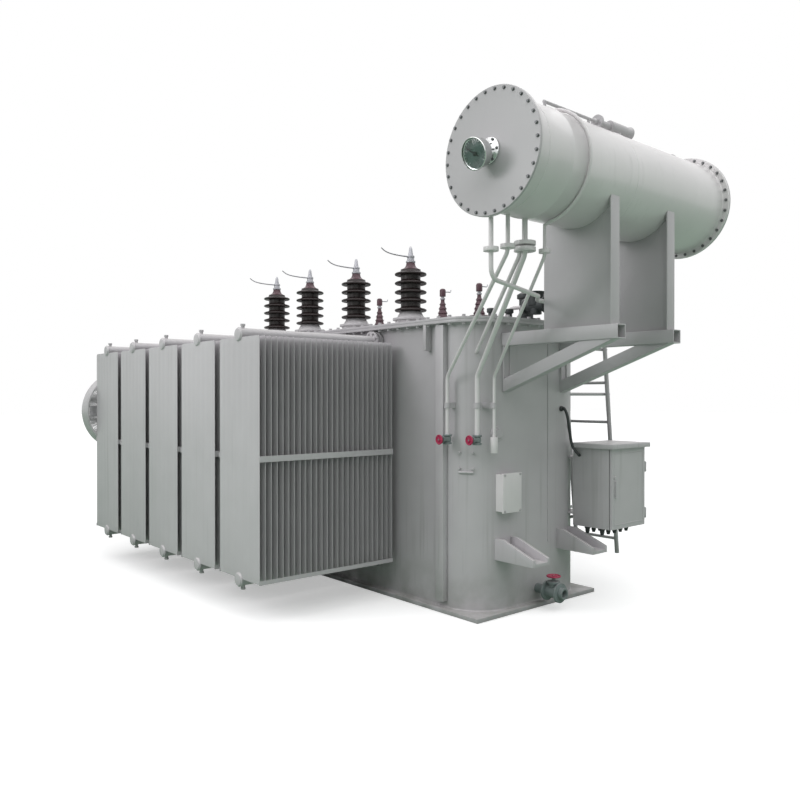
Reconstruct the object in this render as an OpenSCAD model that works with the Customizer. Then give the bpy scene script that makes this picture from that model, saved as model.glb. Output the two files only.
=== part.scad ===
// Oil-immersed power transformer: tank, radiators, bushings, conservator and fittings.
// Millimetres, +Z up, origin on the ground under the middle of the tank.
// +X is the conservator end, -Y the side that faces the viewer.

/* [Tank] */
// Length of the base plate along X
base_len = 4300; // [4100:10:4700]
// Width of the base plate along Y
base_w = 1310; // [1250:10:1500]
// Thickness of the base plate
base_t = 30; // [20:1:50]
// How far the base plate stands out past the tank walls
base_margin = 50; // [30:1:80]
// Height of the top face of the cover above the ground
cover_top = 2075; // [2000:5:2200]
// Thickness of the cover plate
cover_t = 20; // [12:1:30]
// Thickness of the tank's rim flange under the cover
rim_t = 20; // [12:1:30]
// How far rim and cover stand out past the tank walls
rim_out = 60; // [40:1:90]
// Bend radius of the tank's vertical corners
tank_r = 280; // [150:5:350]
// Distance of the side stiffeners from the end walls
stiffener_in = 330; // [300:5:420]
// Width of a side stiffener
stiffener_w = 80; // [60:1:120]
// Depth of a side stiffener
stiffener_d = 45; // [20:1:60]
// Distance of the lifting lugs from the end walls
lug_in = 470; // [440:5:520]
// Reach of a lifting lug from the side wall
lug_out = 58; // [40:1:60]
// Height of a lifting lug
lug_h = 186; // [120:1:240]
// Plate thickness of a lifting lug
lug_t = 30; // [16:1:40]

/* [Jacking pads] */
// Height of the underside of a jacking pad
pad_z = 385; // [330:5:450]
// Reach of a jacking pad from the end wall
pad_out = 330; // [250:5:360]
// Width of a jacking pad
pad_w = 170; // [140:2:220]
// Distance of a pad's middle from the tank's centre line
pad_y = 330; // [280:5:360]
// Plate thickness of pad and gussets
pad_t = 24; // [16:1:32]
// Height of the gussets over the pad
pad_gusset_h = 125; // [100:5:130]

/* [Radiators] */
// Distance from one radiator to the next along the tank
radiator_pitch = 630; // [600:5:660]
// X of the middle of the first radiator, at the conservator end
radiator_x = 1025; // [960:5:1060]
// Number of panels in one radiator
panel_count = 26; // [16:1:28]
// Distance from panel to panel
panel_pitch = 45; // [40:1:50]
// Width of a panel
panel_w = 550; // [500:5:560]
// Thickness of a panel at its oil channels
panel_t = 11; // [8:0.5:16]
// Thickness of a panel at its welded edge
panel_edge_t = 4; // [2:0.5:6]
// Width of the bevel from the welded edge to the channels
panel_bevel = 14; // [8:1:24]
// Height of the lower edge of the panels
panel_z0 = 285; // [260:1:330]
// Height of the upper edge of the panels
panel_z1 = 1925; // [1850:5:1930]
// Outside radius of the header pipes
header_r = 45; // [38:1:55]
// Height of a header's axis past the panel edge
header_off = 20; // [10:1:22]
// Drop of the lower header below the panels' lower ends
header_drop = 10; // [5:1:38]
// Reach of the header past the outer panel
header_out = 26; // [15:1:40]
// Distance of the first panel's middle from the tank wall
first_panel = 86; // [82:1:110]
// Height of the tie strips across the panel edges
tie_z = 1110; // [900:5:1300]
// Height of a tie strip
tie_h = 40; // [30:1:60]
// Thickness of a tie strip
tie_t = 8; // [5:0.5:12]

/* [Bushings] */
// X of the first high-voltage bushing
hv_x = 1130; // [1050:5:1200]
// Distance between the high-voltage phases
hv_pitch = 715; // [640:5:760]
// Distance from the last phase to the neutral
hv_neutral = 590; // [500:5:640]
// Y of the row of high-voltage bushings
hv_y = -355; // [-400:5:-300]
// Radius of the high-voltage sheds
hv_shed_r = 127; // [105:1:135]
// Number of sheds on a high-voltage bushing
hv_sheds = 5; // [3:1:7]
// Height of the high-voltage porcelain
hv_h = 335; // [300:5:420]
// X of the first low-voltage bushing
lv_x = 1210; // [1150:5:1260]
// Distance between the low-voltage bushings
lv_pitch = 447; // [400:1:480]
// Y of the row of low-voltage bushings
lv_y = 345; // [300:5:400]

/* [Conservator] */
// Distance of the conservator's axis from the tank's end wall
cons_out = 610; // [540:5:660]
// Height of the conservator's axis
cons_z = 2920; // [2850:5:3000]
// Outside radius of the conservator's shell
cons_r = 325; // [290:5:340]
// Wall thickness of the shell
cons_wall = 6; // [4:0.5:10]
// Length over both end covers
cons_len = 2105; // [2000:5:2300]
// Distance of the near end from the tank's middle
cons_near = 1137.5; // [1050:0.5:1200]
// Radius of the bolted end flanges and covers
cons_flange_r = 367; // [360:1:400]
// Thickness of an end flange
cons_flange_t = 16; // [10:1:24]
// Thickness of an end cover
cons_cover_t = 14; // [10:1:20]
// Radius of the oil-level gauge's bezel
gauge_r = 96; // [85:1:115]
// Reach of the gauge from the end cover
gauge_out = 145; // [125:1:180]

/* [Brackets] */
// Distance of the bracket arms from the centre line
arm_y = 320; // [290:5:325]
// Side of the square hollow arms
arm_side = 90; // [70:1:110]
// Wall of the arms
arm_wall = 8; // [5:0.5:12]
// Height of the top of the arms
arm_top = 1965; // [1900:5:1980]
// Reach of the arms from the end wall
arm_out = 935; // [900:5:980]
// Plate thickness of the saddles
saddle_t = 12; // [8:1:20]
// Distance of the saddle's inner edge from the end wall
saddle_in = 344; // [320:2:360]
// Width of a saddle web along X
saddle_len = 536; // [480:2:550]
// Width of the stiffening strip on a saddle's outer edge
saddle_strip_w = 90; // [60:1:110]
// Height of a strut's foot on the end wall
strut_z = 1550; // [1450:5:1600]
// Height of a strut's end cut on the wall
strut_h = 90; // [60:1:110]
// Thickness of a strut
strut_t = 70; // [50:1:80]

/* [Piping] */
// Outside radius of the filling pipe
fill_pipe_r = 13; // [10:0.5:16]
// Outside radius of the filter pipe
filter_pipe_r = 17; // [14:0.5:18]
// Outside radius of the main oil pipe
main_pipe_r = 14; // [12:0.5:16]
// Outside radius of the breather pipe
breather_rad = 11; // [9:0.5:14]
// Height of the flanges under the conservator
outlet_flange_z = 2410; // [2380:5:2450]
// Height of the valves on the wall pipes
wall_valve_z = 1225; // [1150:5:1300]
// Rim radius of the small handwheels
small_wheel_r = 30; // [24:1:36]
// Rim radius of the drain valve's handwheel
drain_wheel_r = 46; // [38:1:52]
// Height of the drain valve's axis
drain_z = 125; // [110:1:160]
// Y of the drain valve
drain_y = 25; // [-20:5:60]

/* [Control cabinet] */
// Depth of the cabinet along X
cab_d = 320; // [260:5:360]
// Width of the cabinet along Y
cab_w = 430; // [360:5:480]
// Height of the cabinet
cab_h = 590; // [500:5:650]
// Y of the cabinet's near side
cab_y = 395; // [380:5:420]
// Height of the cabinet's floor
cab_z = 550; // [500:5:600]
// Sheet thickness of the cabinet
cab_t = 5; // [3:0.5:8]
// Distance of the cabinet's back from the end wall
cab_gap = 40; // [30:1:60]
// Overhang of the cabinet's roof
roof_out = 32; // [25:1:45]
// Thickness of the cabinet's door
door_t = 18; // [12:1:25]

/* [Ladder] */
// Distance between the ladder's rails
ladder_w = 400; // [350:5:450]
// Distance from rung to rung
rung_pitch = 320; // [280:5:350]
// Lean of the ladder in degrees
ladder_lean = 6; // [3:0.5:8]
// Distance of the ladder's foot from the tank's side wall
ladder_foot = 455; // [420:5:500]
// Height of the ladder's foot
ladder_z = 240; // [200:5:320]
// Length of the ladder's rails
ladder_len = 1850; // [1700:10:1950]

/* [Cooling fan] */
// Outside radius of the fan's ring
fan_r = 390; // [340:5:400]
// Depth of the fan's ring
fan_d = 170; // [140:5:220]
// Height of the fan's axis
fan_z = 1380; // [1340:5:1420]
// Distance of the fan's axis from the tank's side wall
fan_y = 906; // [850:2:920]

/* [Hidden] */
$fn = 48;

tank_len = base_len - 2 * base_margin;
tank_w = base_w - 2 * base_margin;
wall_x = tank_len / 2;
wall_y = tank_w / 2;
rim_z = cover_top - cover_t - rim_t;
// Gap between curved faces that seat on each other
seat_gap = 0.3;
// Steps of a rounded outline's quarter arc
corner_steps = 16;
paint = [0.66, 0.68, 0.66];
steel = [0.75, 0.76, 0.78];
valve_green = [0.16, 0.24, 0.2];
wheel_red = [0.62, 0.1, 0.14];
porcelain_brown = [0.1, 0.07, 0.07];
eps = 1;

function quarter_arc(cx, cy, r, from) =
    [for (i = [0 : corner_steps]) let (a = from + 90 * i / corner_steps) [cx + r * cos(a), cy + r * sin(a)]];

// Plan outline of a plate of length l and width w whose corners have the radius r
function rounded_plan(l, w, r) = concat(
    quarter_arc(l / 2 - r, w / 2 - r, r, 0),
    quarter_arc(-l / 2 + r, w / 2 - r, r, 90),
    quarter_arc(-l / 2 + r, -w / 2 + r, r, 180),
    quarter_arc(l / 2 - r, -w / 2 + r, r, 270)
);

function unit(v) = v / norm(v);

// Route with each inner corner replaced by an arc of the radius bend
bend_steps = 5;
function corner_points(p, i, bend) =
    let (
        into = unit(p[i] - p[i - 1]),
        out = unit(p[i + 1] - p[i]),
        turn = acos(max(-1, min(1, into * out))),
        cut = bend * tan(turn / 2),
        start = p[i] - into * cut,
        side = unit(out - into * (into * out)),
        middle = start + side * bend
    )
    [for (k = [0 : bend_steps]) let (a = turn * k / bend_steps) middle + bend * (into * sin(a) - side * cos(a))];
function rounded_route(p, bend) = concat(
    [p[0]],
    [for (i = [1 : len(p) - 2]) each corner_points(p, i, bend)],
    [p[len(p) - 1]]
);

// Solid round bar or pipe along a list of points
tube_sides = 12;
function direction(p, i) =
    i == 0 ? unit(p[1] - p[0])
    : i == len(p) - 1 ? unit(p[i] - p[i - 1])
    : unit(unit(p[i + 1] - p[i]) + unit(p[i] - p[i - 1]));
// Normals carried from ring to ring, so that the tube doesn't twist
function carried(n, d) = unit(n - d * (n * d));
function normals(p, i, n) =
    i == len(p) ? []
    : let (m = carried(n, direction(p, i))) concat([m], normals(p, i + 1, m));
function first_normal(d) = abs(d.z) < 0.9 ? unit(cross(d, [0, 0, 1])) : unit(cross(d, [1, 0, 0]));
module tube(p, r) {
    count = len(p);
    n = normals(p, 0, first_normal(direction(p, 0)));
    rings = [
        for (i = [0 : count - 1])
        let (d = direction(p, i), b = cross(d, n[i]))
        for (k = [0 : tube_sides - 1])
        let (a = 360 * k / tube_sides)
        p[i] + r * (n[i] * cos(a) + b * sin(a))
    ];
    sides = [
        for (i = [0 : count - 2])
        for (k = [0 : tube_sides - 1])
        let (j = (k + 1) % tube_sides, a = i * tube_sides, b = a + tube_sides)
        [a + k, b + k, b + j, a + j]
    ];
    first_cap = [for (k = [0 : tube_sides - 1]) k];
    last_cap = [for (k = [tube_sides - 1 : -1 : 0]) (count - 1) * tube_sides + k];
    polyhedron(rings, concat([first_cap], sides, [last_cap]));
}

// Round disc or bar along Y, from y0 to y1
module disc_y(x, z, r, y0, y1) {
    translate([x, y0, z])
    rotate([-90, 0, 0])
    cylinder(h = y1 - y0, r = r);
}

// Round disc or bar along X, from x0 to x1
module disc_x(y, z, r, x0, x1) {
    translate([x0, y, z])
    rotate([0, 90, 0])
    cylinder(h = x1 - x0, r = r);
}

// Room that the tank takes up in plan, with the seating gap
module tank_room(z0, z1) {
    translate([0, 0, z0])
    linear_extrude(z1 - z0)
    polygon(rounded_plan(tank_len + 2 * seat_gap, tank_w + 2 * seat_gap, tank_r + seat_gap));
}

module at_four_corners(x, y) {
    for (sx = [-1, 1], sy = [-1, 1])
        translate([sx * x, sy * y, 0])
        mirror([sx < 0 ? 1 : 0, 0, 0])
        mirror([0, sy < 0 ? 1 : 0, 0])
        children();
}

// Tank

module base_plate() {
    color(paint)
    translate([-base_len / 2, -base_w / 2, 0])
    cube([base_len, base_w, base_t]);
}

module tank_body() {
    color(paint)
    translate([0, 0, base_t])
    linear_extrude(rim_z - base_t)
    polygon(rounded_plan(tank_len, tank_w, tank_r));
}

module tank_rim() {
    color(paint)
    translate([0, 0, rim_z])
    linear_extrude(rim_t)
    polygon(rounded_plan(tank_len + 2 * rim_out, tank_w + 2 * rim_out, tank_r + rim_out));
}

stiffener_z0 = base_t + 45;
stiffener_top = rim_z - 8;
module tank_stiffeners() {
    color(paint)
    at_four_corners(wall_x - stiffener_in, wall_y)
    translate([-stiffener_w / 2, 0, stiffener_z0])
    cube([stiffener_w, stiffener_d, stiffener_top - stiffener_z0]);
}

module lifting_lugs() {
    color(paint)
    at_four_corners(wall_x - lug_in, wall_y)
    translate([-lug_t / 2, 0, rim_z - lug_h])
    cube([lug_t, lug_out, lug_h]);
}

// Jacking pad with two gussets, seated on the end wall
gusset_foot = 60;
module jacking_pads() {
    color(paint)
    at_four_corners(wall_x, pad_y)
    translate([0, -pad_w / 2, pad_z])
    difference() {
        union() {
            translate([-pad_t, 0, 0])
            cube([pad_out + pad_t, pad_w, pad_t]);
            for (y = [pad_t, pad_w])
                translate([0, y, pad_t])
                rotate([90, 0, 0])
                linear_extrude(pad_t)
                polygon([
                    [-pad_t, 0], [pad_out, 0], [pad_out, pad_t], [gusset_foot, pad_gusset_h], [-pad_t, pad_gusset_h]
                ]);
        }
        translate([-wall_x, pad_w / 2 - pad_y, -eps])
        tank_room(0, pad_t + pad_gusset_h + 2 * eps);
    }
}

module cover() {
    color(paint)
    translate([0, 0, cover_top - cover_t])
    linear_extrude(cover_t)
    polygon(rounded_plan(tank_len + 2 * rim_out, tank_w + 2 * rim_out, tank_r + rim_out));
}

// Thermometer pockets and the pressure relief device on the cover
relief_at = [wall_x - 110, 30];
relief_h = 225;
pockets_at = [[wall_x - 155, -300], [wall_x - 105, -165]];
module cover_fittings() {
    color("dimgray")
    translate([0, 0, cover_top]) {
        translate(relief_at)
        rotate_extrude()
        polygon([
            [0, 0], [92, 0], [92, 20], [52, 26], [52, relief_h - 60], [68, relief_h - 54],
            [68, relief_h - 26], [24, relief_h], [0, relief_h]
        ]);
        for (p = pockets_at)
            translate(p)
            rotate_extrude()
            polygon([[0, 0], [38, 0], [38, 14], [22, 18], [22, 46], [32, 50], [32, 76], [26, 80], [0, 80]]);
    }
}

// Bushings

hv_places = [hv_x, hv_x - hv_pitch, hv_x - 2 * hv_pitch, hv_x - 2 * hv_pitch - hv_neutral];
lv_places = [for (i = [0 : 3]) lv_x - i * lv_pitch];
hv_turret_h = 116;
hv_neck_r = 76;
// Height of the cone on top of the sheds, and its radius at the cap
hv_cone_h = 55;
hv_cone_r = 34;
lv_turret_h = 112;
lv_flange_h = 20;
lv_h = 212;
lv_r = 75;

module at_hv() {
    for (x = hv_places)
        translate([x, hv_y, cover_top])
        children();
}

module at_lv() {
    for (x = lv_places)
        translate([x, lv_y, cover_top])
        children();
}

module bushing_turrets() {
    color(paint) {
        at_hv()
        rotate_extrude()
        polygon([
            [0, 0], [150, 0], [150, 18], [122, 18], [122, 48], [142, 48], [142, 66],
            [112, 66], [84, hv_turret_h], [0, hv_turret_h]
        ]);
        at_lv()
        rotate_extrude()
        polygon([
            [0, 0], [105, 0], [105, 18], [80, 18], [80, lv_turret_h - 16],
            [92, lv_turret_h - 16], [92, lv_turret_h], [0, lv_turret_h]
        ]);
    }
}

// Half section of one shed from the neck out to the rim and back
shed_share = 0.7;
function shed(r_neck, r_rim, z, pitch) = [
    [r_neck, z],
    [r_rim - 6, z + 0.14 * pitch],
    [r_rim, z + 0.2 * pitch],
    [r_rim, z + 0.34 * pitch],
    [r_rim - 6, z + 0.42 * pitch],
    [r_neck, z + shed_share * pitch]
];

hv_shed_pitch = hv_h / (hv_sheds - 1 + shed_share);
module hv_porcelains() {
    color(porcelain_brown)
    at_hv()
    translate([0, 0, hv_turret_h])
    rotate_extrude()
    polygon(concat(
        [[0, 0]],
        [for (i = [0 : hv_sheds - 1]) each shed(hv_neck_r, hv_shed_r, i * hv_shed_pitch, hv_shed_pitch)],
        [[hv_cone_r, hv_h + hv_cone_h], [0, hv_h + hv_cone_h]]
    ));
}

// Pointed cap on the cone, with an arcing horn that leaves it sideways
hv_cap_h = 132;
horn_r = 6;
horn_z = 54;
horn_reach = 250;
horn_tip = 50;
module hv_terminals() {
    color(steel)
    at_hv()
    translate([0, 0, hv_turret_h + hv_h + hv_cone_h]) {
        rotate_extrude()
        polygon([
            [0, 0], [38, 0], [38, 8], [30, 8], [23, horn_z + 22], [21, horn_z + 40],
            [10, horn_z + 58], [9, hv_cap_h], [0, hv_cap_h]
        ]);
        translate([0, 0, horn_z])
        tube(rounded_route([
            [0, -15, 0], [0, -horn_reach, 4], [0, -horn_reach - horn_tip, horn_tip]
        ], 90), horn_r);
    }
}

module lv_porcelains() {
    color(porcelain_brown)
    at_lv()
    translate([0, 0, lv_turret_h])
    rotate_extrude()
    polygon([
        [0, 0], [lv_r, 0], [lv_r, lv_flange_h], [52, lv_flange_h + 6], [48, 44], [34, 90],
        [24, 140], [17, lv_h], [0, lv_h]
    ]);
}

lv_cap_h = 82;
module lv_terminals() {
    color(steel)
    at_lv()
    translate([0, 0, lv_turret_h + lv_h]) {
        rotate_extrude()
        polygon([[0, 0], [20, 0], [20, 62], [11, 68], [11, lv_cap_h], [0, lv_cap_h]]);
        translate([0, 0, 30])
        tube(rounded_route([[0, 12, 0], [0, 80, 4], [0, 104, 26]], 30), horn_r);
    }
}

// Radiators

last_panel = first_panel + (panel_count - 1) * panel_pitch;
header_end = last_panel + header_out;
header_z0 = panel_z0 - header_drop;
header_z1 = panel_z1 + header_off;
stub_len = 12;
flange_t = 16;
valve_t = 26;
radiator_flange_y = stub_len + flange_t + valve_t;
radiator_flange_r = header_r + 36;
stack_depth = last_panel - first_panel + panel_t;
// Bays that fit between the first one and the far stiffener; the rear bank leaves out the bay beside the ladder
bank_clear = 20;
bank_end = wall_x - stiffener_in - stiffener_w / 2 - radiator_flange_r - bank_clear;
front_count = floor((radiator_x + bank_end) / radiator_pitch) + 1;
rear_count = front_count - 1;

module panel() {
    w = panel_w / 2;
    e = panel_edge_t / 2;
    t = panel_t / 2;
    translate([0, 0, panel_z0])
    linear_extrude(panel_z1 - panel_z0)
    polygon([
        [-w, -e], [panel_bevel - w, -t], [w - panel_bevel, -t], [w, -e],
        [w, e], [w - panel_bevel, t], [panel_bevel - w, t], [-w, e]
    ]);
}

// One radiator standing out along +Y from a wall at Y = 0
module radiator() {
    color(paint) {
        for (i = [0 : panel_count - 1])
            translate([0, first_panel + i * panel_pitch, 0])
            panel();
        for (z = [header_z0, header_z1]) {
            disc_y(0, z, radiator_flange_r, radiator_flange_y, radiator_flange_y + flange_t);
            disc_y(0, z, header_r, radiator_flange_y, header_end);
            disc_y(0, z, header_r + 6, header_end - 14, header_end);
        }
        for (side = [-1, 1])
            translate([side * (panel_w + tie_t) / 2 - tie_t / 2, first_panel - panel_t / 2, tie_z - tie_h / 2])
            cube([tie_t, stack_depth, tie_h]);
    }
}

function bay_x(i) = radiator_x - i * radiator_pitch;
module in_front_bay(i) {
    translate([bay_x(i), -wall_y, 0])
    mirror([0, 1, 0])
    children();
}
module in_rear_bay(i) {
    translate([bay_x(i + 1), wall_y, 0])
    children();
}
module in_each_bay() {
    for (i = [0 : front_count - 1])
        in_front_bay(i) children();
    for (i = [0 : rear_count - 1])
        in_rear_bay(i) children();
}

module front_radiators() {
    for (i = [0 : front_count - 1])
        in_front_bay(i) radiator();
}
module rear_radiators() {
    for (i = [0 : rear_count - 1])
        in_rear_bay(i) radiator();
}

// How far a valve's stem stands above its flange, under the rim
stem_rise = 4;
stem_r = 6;
module radiator_valves() {
    color(paint)
    in_each_bay()
    for (z = [header_z0, header_z1]) {
        disc_y(0, z, header_r, 0, stub_len);
        disc_y(0, z, radiator_flange_r, stub_len, stub_len + flange_t);
        disc_y(0, z, header_r + 14, stub_len + flange_t, radiator_flange_y);
        translate([0, stub_len + flange_t + valve_t / 2, z])
        cylinder(h = radiator_flange_r + stem_rise, r = stem_r);
    }
}

// Short bars between the tie strips of neighbouring radiators
link_w = 24;
link_y = last_panel - 60;
module radiator_links() {
    length = radiator_pitch - panel_w - 2 * tie_t;
    color(paint) {
        for (i = [0 : front_count - 2])
            in_front_bay(i)
            translate([-radiator_pitch / 2 - length / 2, link_y, tie_z - link_w / 2])
            cube([length, link_w, link_w]);
        for (i = [0 : rear_count - 2])
            in_rear_bay(i)
            translate([-radiator_pitch / 2 - length / 2, link_y, tie_z - link_w / 2])
            cube([length, link_w, link_w]);
    }
}

// Cooling fans, blowing along the banks from their far ends

fan_bar_h = 40;
fan_bar_t = tie_t;
fan_ring_t = 14;
fan_motor_r = 92;
fan_hub_r = 70;
fan_hub_h = 68;
fan_blade_count = 6;
fan_blade_clear = 14;
fan_face_x = -panel_w / 2 - fan_bar_t;
// The bars that carry the ring pass over and under its axis, clear of the tie strips
fan_bar_clear = 10;
fan_bar_off = min(0.55 * fan_r, fan_z - tie_z - (tie_h + fan_bar_h) / 2 - fan_bar_clear);

module in_fan_bays() {
    in_front_bay(front_count - 1) children();
    in_rear_bay(rear_count - 1) children();
}

module fan_housings() {
    color(paint)
    in_fan_bays() {
        difference() {
            disc_x(fan_y, fan_z, fan_r, fan_face_x - fan_d, fan_face_x);
            disc_x(fan_y, fan_z, fan_r - fan_ring_t, fan_face_x - fan_d - eps, fan_face_x + eps);
        }
        intersection() {
            disc_x(fan_y, fan_z, fan_r, fan_face_x - fan_bar_t, fan_face_x + fan_bar_t);
            for (z = [-fan_bar_off, fan_bar_off])
                translate([fan_face_x - fan_bar_t, fan_y - fan_r, fan_z + z - fan_bar_h / 2])
                cube([2 * fan_bar_t, 2 * fan_r, fan_bar_h]);
        }
        disc_x(fan_y, fan_z, fan_motor_r, fan_face_x - fan_d, fan_face_x - fan_d / 2);
        for (a = [45 : 90 : 315])
            translate([fan_face_x - fan_d + 12, fan_y, fan_z])
            rotate([a, 0, 0])
            translate([-10, -12, fan_motor_r - 6])
            cube([20, 24, fan_r - fan_motor_r]);
    }
}

module fan_blades() {
    color("gray")
    in_fan_bays()
    translate([fan_face_x - fan_d / 2, fan_y, fan_z])
    rotate([0, 90, 0]) {
        cylinder(h = fan_hub_h, r = fan_hub_r);
        for (i = [0 : fan_blade_count - 1])
            rotate([0, 0, 360 * i / fan_blade_count])
            translate([fan_hub_r - 8, 0, fan_hub_h / 2])
            rotate([28, 0, 0])
            translate([0, -62, -3])
            cube([fan_r - fan_ring_t - fan_hub_r - fan_blade_clear, 124, 6]);
    }
}

// Conservator

cons_x = wall_x + cons_out;
cons_y0 = -cons_near;
cons_y1 = cons_len - cons_near;
shell_y0 = cons_y0 + cons_cover_t;
shell_y1 = cons_y1 - cons_cover_t;
// Places of the pipes along the conservator, from its near end
main_pipe_y = cons_y0 + 52;
fill_pipe_y = main_pipe_y + 145;
filter_pipe_y = fill_pipe_y + 153;
breather_y = filter_pipe_y + 137;
// The outlets stand a little to the tank's side of the shell's lowest line
outlet_x = cons_x - 40;

module conservator_shell() {
    color(paint)
    difference() {
        union() {
            disc_y(cons_x, cons_z, cons_r, shell_y0, shell_y1);
            for (y = [shell_y0, shell_y1 - cons_flange_t])
                disc_y(cons_x, cons_z, cons_flange_r, y, y + cons_flange_t);
        }
        disc_y(cons_x, cons_z, cons_r - cons_wall, cons_y0, cons_y1);
    }
}

module conservator_end_covers() {
    color(paint)
    for (y = [cons_y0, shell_y1])
        disc_y(cons_x, cons_z, cons_flange_r, y, y + cons_cover_t);
}

gauge_neck_r = 56;
gauge_body_r = gauge_r - 16;
gauge_lip = 12;
gauge_glass_t = 5;
gauge_recess = 20;
module oil_level_gauge() {
    color(steel)
    translate([cons_x, cons_y0, cons_z])
    rotate([90, 0, 0])
    rotate_extrude()
    polygon([
        [0, 0], [gauge_neck_r + 30, 0], [gauge_neck_r + 30, 14], [gauge_neck_r, 14], [gauge_neck_r, 54],
        [gauge_body_r, 62], [gauge_body_r, gauge_out - 34], [gauge_r, gauge_out - 30], [gauge_r, gauge_out - 6],
        [gauge_r - 6, gauge_out], [gauge_r - gauge_lip, gauge_out],
        [gauge_r - gauge_lip, gauge_out - gauge_recess], [0, gauge_out - gauge_recess]
    ]);
}

module gauge_glass() {
    color("lightgray", 0.5)
    translate([cons_x, cons_y0 - gauge_out + gauge_recess, cons_z])
    rotate([90, 0, 0])
    cylinder(h = gauge_glass_t, r = gauge_r - gauge_lip - seat_gap);
}

saddle_x0 = wall_x + saddle_in;
saddle_x1 = saddle_x0 + saddle_len;
saddle_strip_t = 10;
saddle_top = cons_z - 150;
module conservator_saddles() {
    color(paint)
    for (side = [-1, 1])
        difference() {
            union() {
                translate([saddle_x0, side * arm_y - saddle_t / 2, arm_top])
                cube([saddle_len, saddle_t, saddle_top - arm_top]);
                translate([saddle_x1, side * arm_y - saddle_strip_w / 2, arm_top])
                cube([saddle_strip_t, saddle_strip_w, saddle_top - arm_top]);
            }
            disc_y(cons_x, cons_z, cons_r + seat_gap, cons_y0, cons_y1);
        }
}

module conservator_arms() {
    inner = arm_side - 2 * arm_wall;
    color(paint)
    for (side = [-1, 1])
        translate([wall_x, side * arm_y, arm_top - arm_side / 2])
        difference() {
            translate([0, -arm_side / 2, -arm_side / 2])
            cube([arm_out, arm_side, arm_side]);
            translate([arm_wall, -inner / 2, -inner / 2])
            cube([arm_out, inner, inner]);
        }
}

strut_end = arm_out - 35;
strut_rise = arm_top - arm_side - strut_z;
// Channel leg that stands on a strut's foot under the arm
leg_d = 16;
leg_wall = 8;
module conservator_struts() {
    color(paint)
    for (side = [-1, 1])
        translate([wall_x, side * arm_y, strut_z]) {
            translate([0, strut_t / 2, 0])
            rotate([90, 0, 0])
            linear_extrude(strut_t)
            polygon([
                [0, 0], [strut_end, strut_rise],
                [strut_end * (1 - strut_h / strut_rise), strut_rise], [0, strut_h]
            ]);
            difference() {
                translate([0, -strut_t / 2, strut_h / 2])
                cube([leg_d, strut_t, strut_rise - strut_h / 2]);
                translate([leg_wall, leg_wall - strut_t / 2, 0])
                cube([leg_d, strut_t - 2 * leg_wall, strut_rise + eps]);
            }
        }
}

// Vent rail with its valve, and a lifting eye, along the top of the conservator
cons_top = cons_z + cons_r;
vent_rail_r = 10;
rail_y0 = breather_y - vent_rail_r;
rail_post_y = -206;
vent_y = 110;
vent_stub_r = 30;
rail_lift = 78;
eye_y = 795;
eye_t = 20;
eye_h = 50;
module conservator_fittings() {
    color(paint)
    difference() {
        union() {
            translate([cons_x, 0, cons_top + rail_lift])
            rotate([-90, 0, 0])
            rotate_extrude()
            polygon([
                [0, rail_y0], [vent_rail_r, rail_y0], [vent_rail_r, -150], [18, -140], [18, -118],
                [47, -118], [47, -102], [22, -102], [22, 20], [40, 20], [40, 190], [34, 200],
                [48, 250], [40, 250], [26, 205], [0, 205]
            ]);
            for (y = [breather_y, rail_post_y])
                translate([cons_x, y, cons_top - 20])
                cylinder(h = rail_lift + 20, r = vent_rail_r);
            translate([cons_x, vent_y, cons_top - 20])
            cylinder(h = rail_lift + 20, r = vent_stub_r);
            translate([cons_x, eye_y + eye_t / 2, cons_top])
            rotate([90, 0, 0])
            cylinder(h = eye_t, r = eye_h);
        }
        shell_room();
        translate([cons_x, eye_y + eye_t, cons_top + eye_h / 2])
        rotate([90, 0, 0])
        cylinder(h = 2 * eye_t, r = 14);
    }
}

// Pipes from the conservator's underside

pipe_bend = 70;
// Height where the pipes to the tank's wall begin to slant, and where they turn down beside it
slant_top = outlet_flange_z - 30;
drop_top = wall_valve_z + 435;
outlet_flange_r = 45;
filter_flange_r = 66;
breather_flange_r = 36;
outlet_flange_t = 24;
shell_bottom = cons_z - cons_r;
// How deep a pipe's end reaches up beside the shell before it is trimmed to the curve
pipe_overlap = 10;

// Outlet pipe from a flange at the height z up to the shell, with its foot at the origin
module outlet(r, flange_r, z) {
    cylinder(h = shell_bottom + pipe_overlap - z, r = r);
    translate([0, 0, -outlet_flange_t / 2])
    cylinder(h = outlet_flange_t, r = flange_r);
}

module shell_room() {
    disc_y(cons_x, cons_z, cons_r + seat_gap, cons_y0, cons_y1);
}

// Relay in the main pipe, over the tank's rim
relay_x = wall_x + 90;
relay_y = -100;
relay_z = cover_top + 92;
relay_len = 190;
cover_entry_x = wall_x - 190;
main_flange_z = outlet_flange_z - 35;
main_low_z = outlet_flange_z - 203;
main_turn_x = relay_x + 156;
module main_oil_pipe() {
    color(paint)
    difference() {
        union() {
            translate([outlet_x, main_pipe_y, main_flange_z])
            outlet(main_pipe_r, outlet_flange_r, main_flange_z);
            tube(rounded_route([
                [outlet_x, main_pipe_y, main_flange_z], [outlet_x, main_pipe_y, main_low_z],
                [cons_x - 90, main_pipe_y + 485, main_low_z - 57], [saddle_x0 - 46, -arm_y - 20, relay_z],
                [main_turn_x, relay_y, relay_z], [relay_x + relay_len / 2, relay_y, relay_z]
            ], pipe_bend), main_pipe_r);
            tube(rounded_route([
                [relay_x - relay_len / 2, relay_y, relay_z], [cover_entry_x, relay_y, relay_z],
                [cover_entry_x, relay_y, cover_top]
            ], pipe_bend), main_pipe_r);
        }
        shell_room();
    }
}

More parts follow.
